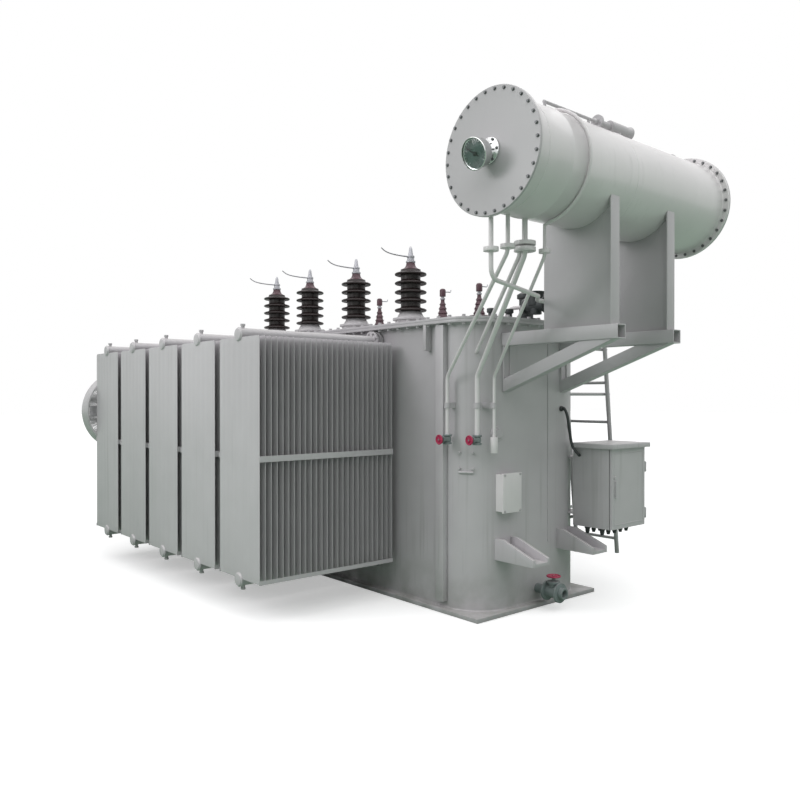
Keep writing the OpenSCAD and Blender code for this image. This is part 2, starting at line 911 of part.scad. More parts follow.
module buchholz_relay() {
    color("dimgray")
    translate([relay_x, relay_y, relay_z]) {
        for (x = [-relay_len / 2, relay_len / 2 - 16])
            disc_x(0, 0, 58, x, x + 16);
        disc_x(0, 0, 44, -relay_len / 2, relay_len / 2);
        cylinder(h = 84, r = 56);
        translate([0, 0, 84])
        cylinder(h = 14, r = 66);
        translate([0, 0, -62])
        cylinder(h = 62, r = 40);
    }
}

breather_drop = [wall_x + 42, 122 - wall_y];
breather_wrap_r = cons_r + breather_rad + 4;
breather_pot_r = 26;
breather_pot_h = 110;
function wrap_point(a) = [cons_x + breather_wrap_r * sin(a), breather_y, cons_z + breather_wrap_r * cos(a)];
module breather_pipe() {
    low = wrap_point(180);
    color(paint)
    difference() {
        union() {
            tube(concat(
                [[cons_x + vent_rail_r + seat_gap, breather_y, wrap_point(8).z]],
                [for (a = [8 : 11 : 180]) wrap_point(a)],
                [[cons_x, breather_y, low.z - breather_rad], [cons_x, breather_y, outlet_flange_z]]
            ), breather_rad);
            tube(rounded_route([
                [cons_x, breather_y, outlet_flange_z + 10], [cons_x, breather_y, slant_top],
                [breather_drop.x, breather_drop.y, drop_top], [breather_drop.x, breather_drop.y, wall_valve_z + 20]
            ], pipe_bend), breather_rad);
            translate([cons_x, breather_y, outlet_flange_z - outlet_flange_t / 2])
            cylinder(h = outlet_flange_t, r = breather_flange_r);
            translate([breather_drop.x, breather_drop.y, wall_valve_z - 90])
            cylinder(h = breather_pot_h, r = breather_pot_r);
        }
        shell_room();
    }
}

fill_drop = [wall_x - 230, -wall_y - 60];
filter_drop = [wall_x - 30, -wall_y + 30];
// The return pipe's way into the rounded corner, along the diagonal of the plan
return_off = 42;
return_bend = 40;
return_z = 1830;
corner_out = [wall_x - 55, 50 - wall_y];
corner_in = [wall_x - 150, 145 - wall_y];
module service_pipes() {
    color(paint)
    difference() {
        union() {
            translate([outlet_x, fill_pipe_y, outlet_flange_z])
            outlet(fill_pipe_r, outlet_flange_r, outlet_flange_z);
            translate([outlet_x, filter_pipe_y, outlet_flange_z])
            outlet(filter_pipe_r, filter_flange_r, outlet_flange_z);
            translate([outlet_x, filter_pipe_y, outlet_flange_z + outlet_flange_t])
            cylinder(h = outlet_flange_t, r = filter_flange_r);
            tube(rounded_route([
                [outlet_x, fill_pipe_y, outlet_flange_z], [outlet_x, fill_pipe_y, slant_top],
                [fill_drop.x, fill_drop.y, drop_top], [fill_drop.x, fill_drop.y, wall_valve_z + valve_half]
            ], pipe_bend), fill_pipe_r);
            tube(rounded_route([
                [outlet_x, filter_pipe_y, outlet_flange_z], [outlet_x, filter_pipe_y, slant_top],
                [filter_drop.x, filter_drop.y, drop_top], [filter_drop.x, filter_drop.y, wall_valve_z + valve_half]
            ], pipe_bend), filter_pipe_r);
            difference() {
                tube(rounded_route([
                    [outlet_x - return_off, filter_pipe_y, outlet_flange_z],
                    [outlet_x - return_off, filter_pipe_y, slant_top],
                    [corner_out.x, corner_out.y, return_z], [corner_in.x, corner_in.y, return_z]
                ], return_bend), fill_pipe_r);
                translate([wall_x - tank_r, tank_r - wall_y, return_z - 2 * fill_pipe_r])
                cylinder(h = 4 * fill_pipe_r, r = tank_r + seat_gap);
            }
        }
        shell_room();
    }
}

// Clamps that hold the wall pipes to the rounded corner of the tank
clamp_z = wall_valve_z + 215;
clamp_h = 40;
clamp_w = 24;
clamp_reach = 120;
clamp_wall = 8;
module clamp(at, r, angle) {
    difference() {
        union() {
            translate([at.x, at.y, clamp_z])
            rotate([0, 0, angle])
            translate([r + 2, -clamp_w / 2, 0])
            cube([clamp_reach, clamp_w, clamp_h]);
            translate([at.x, at.y, clamp_z])
            cylinder(h = clamp_h, r = r + clamp_wall);
        }
        translate([at.x, at.y, clamp_z - eps])
        cylinder(h = clamp_h + 2 * eps, r = r + seat_gap);
        translate([wall_x - tank_r, tank_r - wall_y, clamp_z - eps])
        cylinder(h = clamp_h + 2 * eps, r = tank_r + seat_gap);
    }
}
module pipe_clamps() {
    color(paint) {
        clamp(fill_drop, fill_pipe_r, 90);
        clamp(filter_drop, filter_pipe_r, 135);
        clamp(breather_drop, breather_rad, 180);
    }
}

// Valves and handwheels

valve_half = 34;
stem_clear = 0.3;
small_stem = 84;
wheel_hub_h = 14;
drain_stem = 118;
drain_x = wall_x + 150;
drain_half = 64;

// Small gate valve on a vertical pipe, with its stem along -Y
module wall_valve() {
    translate([0, 0, -valve_half])
    rotate_extrude()
    polygon([
        [0, 0], [32, 0], [32, 12], [22, 14], [27, valve_half - 10], [27, valve_half + 10],
        [22, 54], [32, 56], [32, 2 * valve_half], [0, 2 * valve_half]
    ]);
    rotate([90, 0, 0])
    rotate_extrude()
    polygon([
        [0, 0], [18, 0], [18, 42], [25, 42], [25, 52], [stem_r + 5, 54],
        [stem_r + 5, small_stem - wheel_hub_h], [stem_r, small_stem - wheel_hub_h],
        [stem_r, small_stem], [0, small_stem]
    ]);
}

// Flanged gate valve along X with its stem up and an open mouth at +X
drain_stub_r = 34;
drain_bore_r = 28;
drain_flange_r = 70;
drain_mouth = 34;
module drain_valve() {
    rotate([0, 90, 0])
    rotate_extrude()
    polygon([
        [0, wall_x - drain_x], [drain_stub_r, wall_x - drain_x], [drain_stub_r, -drain_half],
        [drain_flange_r, -drain_half], [drain_flange_r, flange_t - drain_half],
        [44, flange_t - drain_half], [44, drain_half - flange_t],
        [drain_flange_r, drain_half - flange_t], [drain_flange_r, drain_half], [40, drain_half],
        [40, drain_half + drain_mouth], [drain_bore_r, drain_half + drain_mouth], [drain_bore_r, 20], [0, 20]
    ]);
    rotate_extrude()
    polygon([
        [0, 35], [36, 35], [36, 60], [46, 60], [46, 76], [stem_r + 8, 80],
        [stem_r + 8, drain_stem - wheel_hub_h], [stem_r + 2, drain_stem - wheel_hub_h],
        [stem_r + 2, drain_stem], [0, drain_stem]
    ]);
}

module gate_valves() {
    color(valve_green) {
        for (p = [fill_drop, filter_drop])
            translate([p.x, p.y, wall_valve_z])
            wall_valve();
        translate([drain_x, drain_y, drain_z])
        drain_valve();
    }
}

// Handwheel in the XY plane with its hub's foot at Z = 0
module handwheel(rim_r, bar_r, bore_r) {
    difference() {
        union() {
            translate([0, 0, wheel_hub_h / 2])
            rotate_extrude()
            translate([rim_r, 0])
            circle(r = bar_r, $fn = 24);
            cylinder(h = wheel_hub_h, r = bore_r + 6);
            for (a = [0 : 120 : 240])
                rotate([0, 0, a])
                translate([0, 0, wheel_hub_h / 2])
                rotate([0, 90, 0])
                cylinder(h = rim_r, r = bar_r * 0.7);
        }
        translate([0, 0, -eps])
        cylinder(h = wheel_hub_h + 2 * eps, r = bore_r);
    }
}

module wall_wheel(p) {
    color(wheel_red)
    translate([p.x, p.y - small_stem + wheel_hub_h - stem_clear, wall_valve_z])
    rotate([90, 0, 0])
    handwheel(small_wheel_r, 5, stem_r + stem_clear);
}

module fill_valve_wheel() {
    wall_wheel(fill_drop);
}

module filter_valve_wheel() {
    wall_wheel(filter_drop);
}

module drain_valve_wheel() {
    color(wheel_red)
    translate([drain_x, drain_y, drain_z + drain_stem - wheel_hub_h + stem_clear])
    handwheel(drain_wheel_r, 6, stem_r + 2 + stem_clear);
}

// Control cabinet

cab_x0 = wall_x + cab_gap;
cab_x1 = cab_x0 + cab_d;
cab_y1 = cab_y + cab_w;
cab_top = cab_z + cab_h;
door_gap = 5;
hinge_pin_r = 5;
hinge_lug = 24;
hinge_h = 40;
hinge_x = cab_x1 + door_gap + door_t / 2;
hinge_y = cab_y1 + hinge_lug / 2 + 2;
hinge_levels = [cab_z + 90, cab_top - 150];
bracket_levels = [cab_z + 80, cab_top - 90];
bracket_t = 12;
roof_h = 34;

module cabinet_body() {
    color(paint) {
        difference() {
            translate([cab_x0, cab_y, cab_z])
            cube([cab_d, cab_w, cab_h]);
            translate([cab_x0 + cab_t, cab_y + cab_t, cab_z + cab_t])
            cube([cab_d, cab_w - 2 * cab_t, cab_h - 2 * cab_t]);
        }
        translate([cab_x0, cab_y - roof_out, cab_top])
        cube([cab_d + roof_out + door_t, cab_w + 2 * roof_out, roof_h]);
        for (z = bracket_levels)
            difference() {
                translate([wall_x - tank_r, cab_y + 10, z])
                cube([tank_r + cab_gap, wall_y - cab_y - 60, bracket_t]);
                tank_room(z - eps, z + bracket_t + eps);
            }
        for (z = hinge_levels) {
            translate([cab_x1 - 40, cab_y1 - eps, z - hinge_h])
            cube([hinge_x - cab_x1 + 40, hinge_lug / 2 + 2 + eps, hinge_h]);
            translate([hinge_x, hinge_y, z - hinge_h])
            cylinder(h = hinge_h, r = hinge_lug / 2);
            translate([hinge_x, hinge_y, z])
            cylinder(h = hinge_h, r = hinge_pin_r);
        }
    }
}

door_side_gap = 2;
latch_z = cab_z + cab_h / 2;
module cabinet_door() {
    color(paint) {
        translate([cab_x1 + door_gap, cab_y + door_side_gap, cab_z + door_side_gap])
        cube([door_t, cab_w - 2 * door_side_gap, cab_h - 3 * door_side_gap]);
        for (z = hinge_levels)
            difference() {
                union() {
                    translate([hinge_x, hinge_y, z + stem_clear])
                    cylinder(h = hinge_h - 4, r = hinge_lug / 2);
                    translate([hinge_x - door_t / 2, cab_y1 - door_side_gap - eps, z + stem_clear])
                    cube([door_t, hinge_y - cab_y1 + door_side_gap + eps, hinge_h - 4]);
                }
                translate([hinge_x, hinge_y, z])
                cylinder(h = hinge_h, r = hinge_pin_r + stem_clear);
            }
        translate([cab_x1 + door_gap + door_t, cab_y + 34, latch_z - 60])
        cube([16, 22, 120]);
    }
}

gland_count = 5;
gland_r = 17;
gland_h = 58;
gland_in = 90;
gland_row_pitch = 130;
gland_side = 60;
module cable_glands() {
    color([0.12, 0.13, 0.14])
    for (i = [0 : gland_count - 1], row = [0, 1])
        translate([
            cab_x0 + gland_in + gland_row_pitch * row,
            cab_y + gland_side + i * (cab_w - 2 * gland_side) / (gland_count - 1),
            cab_z - gland_h
        ])
        rotate_extrude()
        polygon([
            [0, 0], [gland_r - 6, 0], [gland_r - 2, 16], [gland_r, 18], [gland_r, gland_h - 22],
            [gland_r + 5, gland_h - 20], [gland_r + 5, gland_h], [0, gland_h]
        ]);
}

box_y = 190 - wall_y;
box_w = 190;
box_z = 716;
box_h = 274;
box_d = 65;
module terminal_box() {
    color(paint)
    difference() {
        union() {
            translate([wall_x - 40, box_y + 8, box_z + 8])
            cube([box_d + 34, box_w - 16, box_h - 16]);
            translate([wall_x + box_d - 12, box_y, box_z])
            cube([12, box_w, box_h]);
        }
        tank_room(box_z - eps, box_z + box_h + eps);
    }
}

// Ladder

rail_r = 17;
rung_r = 12;
rung_count = floor((ladder_len - 200) / rung_pitch) + 1;
ladder_x1 = wall_x - rail_r;
// First rung and the brackets, from the ladder's foot and from its top
first_rung = 120;
ladder_top = ladder_z + ladder_len * cos(ladder_lean);
bracket_rise = [ladder_z + 350, ladder_top - 540, ladder_top - 180];
bracket_past = 62;
// Distance of the leaning rails from the side wall at the height z
function rail_offset(z) = ladder_foot - (z - ladder_z) * tan(ladder_lean);
module at_ladder_foot(x) {
    translate([x, wall_y + ladder_foot, ladder_z])
    rotate([ladder_lean, 0, 0])
    children();
}
module ladder_rails() {
    color(paint)
    for (x = [ladder_x1 - ladder_w, ladder_x1])
        at_ladder_foot(x)
        cylinder(h = ladder_len, r = rail_r);
}
module ladder_rungs() {
    color(paint)
    at_ladder_foot(ladder_x1 - ladder_w)
    for (i = [0 : rung_count - 1])
        disc_x(0, first_rung + i * rung_pitch, rung_r, rail_r + seat_gap, ladder_w - rail_r - seat_gap);
}
// Rods that hold the rails off the wall, beside the rails' inner sides
module ladder_brackets() {
    side = rail_r + rung_r + seat_gap;
    color(paint)
    for (x = [ladder_x1 - ladder_w + side, ladder_x1 - side], z = bracket_rise)
        difference() {
            disc_y(x, z, rung_r, wall_y - tank_r, wall_y + rail_offset(z) + bracket_past);
            tank_room(z - 2 * rung_r, z + 2 * rung_r);
        }
}

base_plate();
tank_body();
tank_rim();
tank_stiffeners();
lifting_lugs();
jacking_pads();
cover();
cover_fittings();
bushing_turrets();
hv_porcelains();
hv_terminals();
lv_porcelains();
lv_terminals();
front_radiators();
rear_radiators();
radiator_valves();
radiator_links();
fan_housings();
fan_blades();
conservator_shell();
conservator_end_covers();
oil_level_gauge();
gauge_glass();
conservator_saddles();
conservator_arms();
conservator_struts();
conservator_fittings();
main_oil_pipe();
buchholz_relay();
breather_pipe();
service_pipes();
pipe_clamps();
gate_valves();
fill_valve_wheel();
filter_valve_wheel();
drain_valve_wheel();
cabinet_body();
cabinet_door();
cable_glands();
terminal_box();
ladder_rails();
ladder_rungs();
ladder_brackets();
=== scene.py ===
"""Looks of an oil-immersed power transformer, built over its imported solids.

Sizes are in metres in the frame of the solids: +Z up, +X towards the conservator end, -Y the near side.
"""

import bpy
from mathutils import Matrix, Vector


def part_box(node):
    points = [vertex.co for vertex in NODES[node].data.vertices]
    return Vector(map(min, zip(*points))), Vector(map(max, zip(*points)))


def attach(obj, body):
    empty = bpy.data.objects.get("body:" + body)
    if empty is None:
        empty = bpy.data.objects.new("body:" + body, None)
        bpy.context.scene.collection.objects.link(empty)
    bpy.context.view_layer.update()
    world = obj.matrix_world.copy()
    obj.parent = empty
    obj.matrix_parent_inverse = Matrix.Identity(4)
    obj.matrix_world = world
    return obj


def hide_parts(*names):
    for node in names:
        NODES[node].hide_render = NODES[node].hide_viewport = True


bl_info = {
    "name": "Power transformer looks",
    "version": (1, 0, 0),
    "blender": (4, 5, 0),
    "location": "View3D > Sidebar > Transformer",
    "description": "Dresses the solids of a power transformer with finished pieces and materials",
    "category": "Object",
}

import math

import bmesh
import bpy
from mathutils import Matrix, Vector

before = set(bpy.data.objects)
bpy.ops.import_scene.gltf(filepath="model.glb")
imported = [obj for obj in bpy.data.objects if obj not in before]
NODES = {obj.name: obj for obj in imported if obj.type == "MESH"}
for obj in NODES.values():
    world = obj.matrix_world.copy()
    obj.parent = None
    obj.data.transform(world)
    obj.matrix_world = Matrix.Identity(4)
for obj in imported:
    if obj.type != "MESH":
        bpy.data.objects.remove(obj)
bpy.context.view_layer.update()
ROOT = "transformer"
UP = Vector((0, 0, 1))
NEAR = Vector((0, -1, 0))

# Vertices closer than these are one, in built shapes and in copies of the solids
MERGE = 1e-6
CAD_MERGE = 1e-5
# Turns between faces in radians: flat, smooth on copies of solids, smooth on built shapes, bevelled
FLAT_TURN = 0.005
CAD_SMOOTH_TURN = 0.3
SMOOTH_TURN = 0.55
BEVEL_TURN = 0.6
BEVEL_STEPS = 2
BEVEL_ROUND = 0.6

# Places of the solids that the finished pieces stand for
WALL_X = 2.1
WALL_Y = 0.605
TANK_R = 0.28
RIM_Z = 2.035
COVER_Z = 2.075
HV_X = (1.13, 0.415, -0.3, -0.89)
HV_Y = -0.355
LV_X = (1.21, 0.763, 0.316, -0.131)
LV_Y = 0.345
PANEL_W = 0.55
TIE_T = 0.008
FLANGE_R = 0.081
BANK_LOW, BANK_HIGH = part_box("front_radiators")
BAY_PITCH = 0.63
BAY_HALF = PANEL_W / 2 + TIE_T
BAY_COUNT = round((BANK_HIGH.x - BANK_LOW.x - 2 * BAY_HALF) / BAY_PITCH) + 1
FRONT_BAYS = [BANK_HIGH.x - BAY_HALF - BAY_PITCH * i for i in range(BAY_COUNT)]
REAR_BAYS = FRONT_BAYS[1:]
HEADER_Z = (BANK_LOW.z + FLANGE_R, BANK_HIGH.z - FLANGE_R)
CONS_LOW, CONS_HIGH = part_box("conservator_end_covers")
CONS_X = (CONS_LOW.x + CONS_HIGH.x) / 2
CONS_Z = (CONS_LOW.z + CONS_HIGH.z) / 2
CONS_ENDS = ((CONS_LOW.y, -1), (CONS_HIGH.y, 1))
FAN_LOW, FAN_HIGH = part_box("fan_housings")
FAN_Z = (FAN_LOW.z + FAN_HIGH.z) / 2
FAN_R = (FAN_HIGH.z - FAN_LOW.z) / 2
FAN_Y = FAN_HIGH.y - FAN_R


def tint(name, about, *colour):
    """Property for a colour."""
    return bpy.props.FloatVectorProperty(
        name=name, description=about, subtype="COLOR", size=4, min=0, max=1, default=(*colour, 1))


def metres(name, about, default, **more):
    """Property for a length."""
    return bpy.props.FloatProperty(name=name, description=about, default=default, unit="LENGTH", **more)


def level(name, about, default, **more):
    """Property for a strength from nothing up."""
    return bpy.props.FloatProperty(name=name, description=about, default=default, min=0, **more)


def whole(name, about, default, least):
    """Property for a count."""
    return bpy.props.IntProperty(name=name, description=about, default=default, min=least)


class PaintSettings(bpy.types.PropertyGroup):
    """Grey paint on all steelwork."""

    colour: tint("Colour", "Colour of clean paint", 0.515, 0.497, 0.516)
    # pale is a paler copy of the one grey paint. On the conservator's drum it is painted light, standing in
    # for the bright top of the drum under the top light. The pipes and the terminal box take it too.
    pale: tint("Pale colour", "Newer paint on conservator, pipes and terminal box", 0.76, 0.73, 0.745)
    dust: tint("Dust", "Colour of dust on faces that look up", 0.5, 0.49, 0.47)
    grime: tint("Grime", "Splashed dirt near the ground, and streaks", 0.2, 0.205, 0.185)
    roughness: level("Roughness", "Roughness of clean paint", 0.38, max=1, subtype="FACTOR")
    peel: metres("Orange peel", "Depth of the paint's fine ripple", 0.00005, precision=6)


class FinishSettings(bpy.types.PropertyGroup):
    """Colours of the small fittings."""

    porcelain: tint("Porcelain", "Dark brown glaze of the high-voltage bushings", 0.02, 0.013, 0.013)
    brown: tint("Brown resin", "Low-voltage bushings and tops of the high-voltage ones", 0.1, 0.052, 0.064)
    metal: tint("Metal", "Bare terminals and fan rotors", 0.4, 0.4, 0.43)
    chrome: tint("Gauge metal", "Polished case of the oil gauge", 0.75, 0.76, 0.76)
    dial: tint("Dial", "Face of the oil gauge", 0.1, 0.15, 0.145)
    marks: tint("Marks", "Ticks on the oil gauge", 0.6, 0.62, 0.6)
    dark: tint("Dark fittings", "Relay, cover fittings, conduit and glands", 0.035, 0.04, 0.042)
    green: tint("Valve green", "Paint of the valve bodies", 0.2, 0.235, 0.235)
    red: tint("Wheel red", "Paint of the handwheels", 0.42, 0.025, 0.085)
    bolt: tint("Bolts", "Dulled zinc of the dark bolt heads", 0.17, 0.175, 0.18)


class RadiatorSettings(bpy.types.PropertyGroup):
    """Pressed panel radiators."""

    panels: whole("Panels", "Panels in one radiator", 26, 2)
    pitch: metres("Pitch", "Distance from panel to panel", 0.045)
    width: metres("Width", "Width of a panel", PANEL_W)
    thickness: metres("Thickness", "Thickness of a panel at its channels", 0.011)
    flutes: whole("Flutes", "Oil channels across a panel", 7, 1)
    first: metres("First panel", "Distance of the first panel from the wall", 0.086)
    header: metres("Header", "Radius of the header pipes", 0.045)


class BoltSettings(bpy.types.PropertyGroup):
    """Bolt heads by size."""

    cover_head: metres("Cover bolts", "Width across flats on the tank's cover", 0.022)
    end_head: metres("End cover bolts", "Width across flats on the conservator's covers", 0.0135)
    flange_head: metres("Flange bolts", "Width across flats on pipe flanges", 0.018)
    small_head: metres("Small bolts", "Width across flats on boxes and gauge", 0.011)
    rim_spacing: metres("Rim spacing", "Distance between the bolts of the tank's rim", 0.11)
    cover_count: whole("End cover bolts", "Bolts round each conservator cover", 30, 3)


class StageSettings(bpy.types.PropertyGroup):
    """Camera and light."""

    eye: bpy.props.FloatVectorProperty(
        name="Camera", description="Place of the camera", subtype="TRANSLATION",
        default=(5.70, -4.355, 1.525))
    lens: bpy.props.FloatProperty(
        name="Lens", description="Focal length in millimetres on a 36 mm sensor", default=34.4, unit="CAMERA")
    sky: level("Sky", "Strength of the soft light from all round", 0.22)
    top: level("Top light", "Strength of the soft light from overhead", 2.2)
    key: level("Key light", "Power of the wide lamp left of the camera", 37, unit="POWER")
    fill: level("Fill light", "Strength of the weak light on the end wall", 0.45)
    floor: tint("Floor", "Colour that the floor throws on the pieces", 0.3, 0.4, 0.32)


SETTINGS = {
    "transformer_paint": PaintSettings,
    "transformer_finish": FinishSettings,
    "transformer_radiators": RadiatorSettings,
    "transformer_bolts": BoltSettings,
    "transformer_stage": StageSettings,
}


# Shapes


def skin(shape, rings, closed=False):
    """Adds the faces from each ring of corners to the next, where a ring may be a single point."""
    pairs = list(zip(rings, rings[1:]))
    if closed:
        pairs.append((rings[-1], rings[0]))
    for low, high in pairs:
        count = max(len(low), len(high))
        for i in range(count):
            j = (i + 1) % count
            corners = [low[i % len(low)], low[j % len(low)], high[j % len(high)], high[i % len(high)]]
            corners = list(dict.fromkeys(corners))
            if len(corners) > 2:
                shape.faces.new(corners)


def lathe(shape, profile, place, steps, closed=False):
    """Adds a body of revolution from (radius, height) points about local Z, placed by a matrix."""
    turns = [2 * math.pi * i / steps for i in range(steps)]
    rings = []
    for radius, height in profile:
        spots = [Vector((radius * math.cos(a), radius * math.sin(a), height)) for a in turns]
        if radius < MERGE:
            spots = [Vector((0, 0, height))]
        rings.append([shape.verts.new(place @ spot) for spot in spots])
    skin(shape, rings, closed)


def sweep(shape, points, radius, sides, tip=1.0, closed=False):
    """Adds a round bar along points, as a closed loop or with a last ring of tip times the radius."""
    points = [Vector(p) for p in points]
    last = len(points) - 1
    turns = [2 * math.pi * k / sides for k in range(sides)]
    side = None
    rings = []
    for i, point in enumerate(points):
        ahead = points[(i + 1) % len(points)] if closed else points[min(i + 1, last)]
        behind = points[i - 1] if closed else points[max(i - 1, 0)]
        along = (ahead - behind).normalized()
        if side is None:
            side = along.orthogonal().normalized()
        side = (side - along * side.dot(along)).normalized()
        other = along.cross(side)
        size = radius * (1 + (tip - 1) * i / last)
        spots = [point + size * (math.cos(a) * side + math.sin(a) * other) for a in turns]
        rings.append([shape.verts.new(spot) for spot in spots])
    skin(shape, rings, closed)
    if not closed:
        shape.faces.new(rings[0][::-1])
        shape.faces.new(rings[-1])


def block(shape, low, high, turn=None):
    """Adds a box between two corners, placed by an optional matrix."""
    turn = turn or Matrix()
    verts = [shape.verts.new(turn @ Vector((x, y, z)))
             for x in (low[0], high[0]) for y in (low[1], high[1]) for z in (low[2], high[2])]
    for a, b, c, d in ((0, 1, 3, 2), (4, 6, 7, 5), (0, 4, 5, 1), (2, 3, 7, 6), (0, 2, 6, 4), (1, 5, 7, 3)):
        shape.faces.new([verts[a], verts[b], verts[c], verts[d]])


def curve_through(points, steps=8):
    """Points of a smooth curve through the given ones."""
    points = [Vector(p) for p in points]
    ends = [2 * points[0] - points[1]] + points + [2 * points[-1] - points[-2]]
    found = []
    for a, b, c, d in zip(ends, ends[1:], ends[2:], ends[3:]):
        for i in range(steps):
            t = i / steps
            found.append(0.5 * (2 * b + (c - a) * t + (2 * a - 5 * b + 4 * c - d) * t * t
                                + (3 * b - a - 3 * c + d) * t ** 3))
    return found + [points[-1]]


def facing(centre, axis):
    """Matrix that puts local Z along an axis at a place."""
    turn = Vector(axis).to_track_quat("Z", "Y").to_matrix().to_4x4()
    return Matrix.Translation(Vector(centre)) @ turn


def ring(centre, axis, radius, count, start=0.0):
    """Places evenly round a circle, each with the circle's axis."""
    place = facing(centre, axis)
    turns = [start + 2 * math.pi * i / count for i in range(count)]
    return [(place @ Vector((radius * math.cos(a), radius * math.sin(a), 0)), Vector(axis)) for a in turns]


def rounded_outline(half_x, half_y, radius, steps=14):
    """Points round a rectangle with rounded corners, counter-clockwise from +X."""
    points = []
    for k, (sx, sy) in enumerate(((1, 1), (-1, 1), (-1, -1), (1, -1))):
        for i in range(steps + 1):
            a = math.pi / 2 * (k + i / steps)
            points.append(Vector((sx * (half_x - radius) + radius * math.cos(a),
                                  sy * (half_y - radius) + radius * math.sin(a), 0)))
    return points


def along_outline(points, spacing):
    """Places at even distances round a closed outline."""
    count = len(points)
    lengths = [(points[(i + 1) % count] - points[i]).length for i in range(count)]
    total = round(sum(lengths) / spacing)
    step = sum(lengths) / total
    found = []
    i = 0
    walked = 0.0
    for k in range(total):
        while walked + lengths[i] < k * step:
            walked += lengths[i]
            i += 1
        share = (k * step - walked) / lengths[i] if lengths[i] else 0
        found.append(points[i].lerp(points[(i + 1) % count], share))
    return found


def round_edges(shape, width):
    """Bevels the sharp outward edges."""
    sharp = [e for e in shape.edges if len(e.link_faces) == 2 and e.calc_face_angle_signed(0) > BEVEL_TURN]
    if sharp:
        bmesh.ops.bevel(shape, geom=sharp, offset=width, segments=BEVEL_STEPS, profile=BEVEL_ROUND,
                        affect="EDGES", clamp_overlap=True)


def to_mesh(name, shape, limit=SMOOTH_TURN):
    """Turns a bmesh into a smooth mesh, with edges that turn past the limit kept sharp."""
    bmesh.ops.recalc_face_normals(shape, faces=shape.faces)
    for face in shape.faces:
        face.smooth = True
    for edge in shape.edges:
        edge.smooth = len(edge.link_faces) == 2 and edge.calc_face_angle(0) < limit
    mesh = bpy.data.meshes.new(name)
    shape.to_mesh(mesh)
    shape.free()
    return mesh


def add_object(name, mesh, body, nodes=()):
    """Links a mesh as a piece that rides on a body and stands for CAD nodes."""
    piece = bpy.data.objects.new(name, mesh)
    bpy.context.scene.collection.objects.link(piece)
    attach(piece, body)
    if nodes:
        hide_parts(*nodes)
    return piece


def to_piece(name, shape, material, body=ROOT, nodes=(), limit=SMOOTH_TURN):
    """Turns a bmesh into a finished piece."""
    bmesh.ops.remove_doubles(shape, verts=shape.verts, dist=MERGE)
    mesh = to_mesh(name, shape, limit)
    mesh.materials.append(material)
    return add_object(name, mesh, body, nodes)


def dressed(node, bevel, material, body=ROOT, extra=None):
    """A finished copy of a CAD node with rounded edges, and what the function extra adds to it."""
    shape = bmesh.new()
    shape.from_mesh(NODES[node].data)
    bmesh.ops.remove_doubles(shape, verts=shape.verts, dist=CAD_MERGE)
    bmesh.ops.dissolve_limit(shape, angle_limit=FLAT_TURN, verts=shape.verts, edges=shape.edges)
    bmesh.ops.recalc_face_normals(shape, faces=shape.faces)
    if bevel:
        round_edges(shape, bevel)
    if extra:
        extra(shape)
    return to_piece(node + "_finished", shape, material, body, (node,), CAD_SMOOTH_TURN)


# Node trees


class Graph:
    """Adds nodes to a node tree."""

    def __init__(self, tree):
        self.tree = tree

    def add(self, kind, settings=None, **inputs):
        """Node with settings, and inputs named with underscores for spaces."""
        node = self.tree.nodes.new(kind)
        for key, value in (settings or {}).items():
            setattr(node, key, value)
        for key, value in inputs.items():
            self.put(node.inputs[key.replace("_", " ")], value)
        return node

    def put(self, socket, value):
        """Links a socket's source or sets its value."""
        if isinstance(value, bpy.types.NodeSocket):
            self.tree.links.new(value, socket)
        else:
            socket.default_value = value

    def maths(self, operation, a, b, clamp=False):
        """Result of an operation on two values."""
        node = self.add("ShaderNodeMath", {"operation": operation, "use_clamp": clamp})
        self.put(node.inputs[0], a)
        self.put(node.inputs[1], b)
        return node.outputs[0]

    def span(self, value, low, high, to_low=0.0, to_high=1.0):
        """A value's range mapped to another one."""
        node = self.add("ShaderNodeMapRange", Value=value)
        for key, number in (("From Min", low), ("From Max", high), ("To Min", to_low), ("To Max", to_high)):
            node.inputs[key].default_value = number
        return node.outputs["Result"]

    def noise(self, vector, scale, detail=2.0):
        """Noise from 0 to 1."""
        return self.add("ShaderNodeTexNoise", Vector=vector, Scale=scale, Detail=detail).outputs["Fac"]

    def mix(self, share, a, b):
        """Blend of two colours."""
        node = self.add("ShaderNodeMix", {"data_type": "RGBA"})
        self.put(node.inputs[0], share)
        self.put(node.inputs[6], a)
        self.put(node.inputs[7], b)
        return node.outputs[2]

    def z_part(self, vector):
        """How far a vector goes up."""
        return self.add("ShaderNodeSeparateXYZ", Vector=vector).outputs["Z"]

    def scaled(self, colour, factor):
        """A colour times a factor."""
        node = self.add("ShaderNodeVectorMath", {"operation": "SCALE"}, Scale=factor)
        self.put(node.inputs[0], colour)
        return node.outputs[0]


def new_group(name, kind, inputs, outputs):
    """Node group with named ends; returns it with its graph and the two end nodes."""
    tree = bpy.data.node_groups.new(name, kind)
    for label, socket in inputs:
        tree.interface.new_socket(label, in_out="INPUT", socket_type=socket)
    for label, socket in outputs:
        tree.interface.new_socket(label, in_out="OUTPUT", socket_type=socket)
    graph = Graph(tree)
    return tree, graph, graph.add("NodeGroupInput"), graph.add("NodeGroupOutput")


# Patterns

MESH_END = ("Geometry", "NodeSocketGeometry")
MATERIAL_END = ("Material", "NodeSocketMaterial")
HEAD_SIDES = 6
HEAD_RISE = 0.6
WASHER_SIDES = 16
WASHER_R = 0.8
WASHER_T = 0.006
WASHER_GAP = 0.002


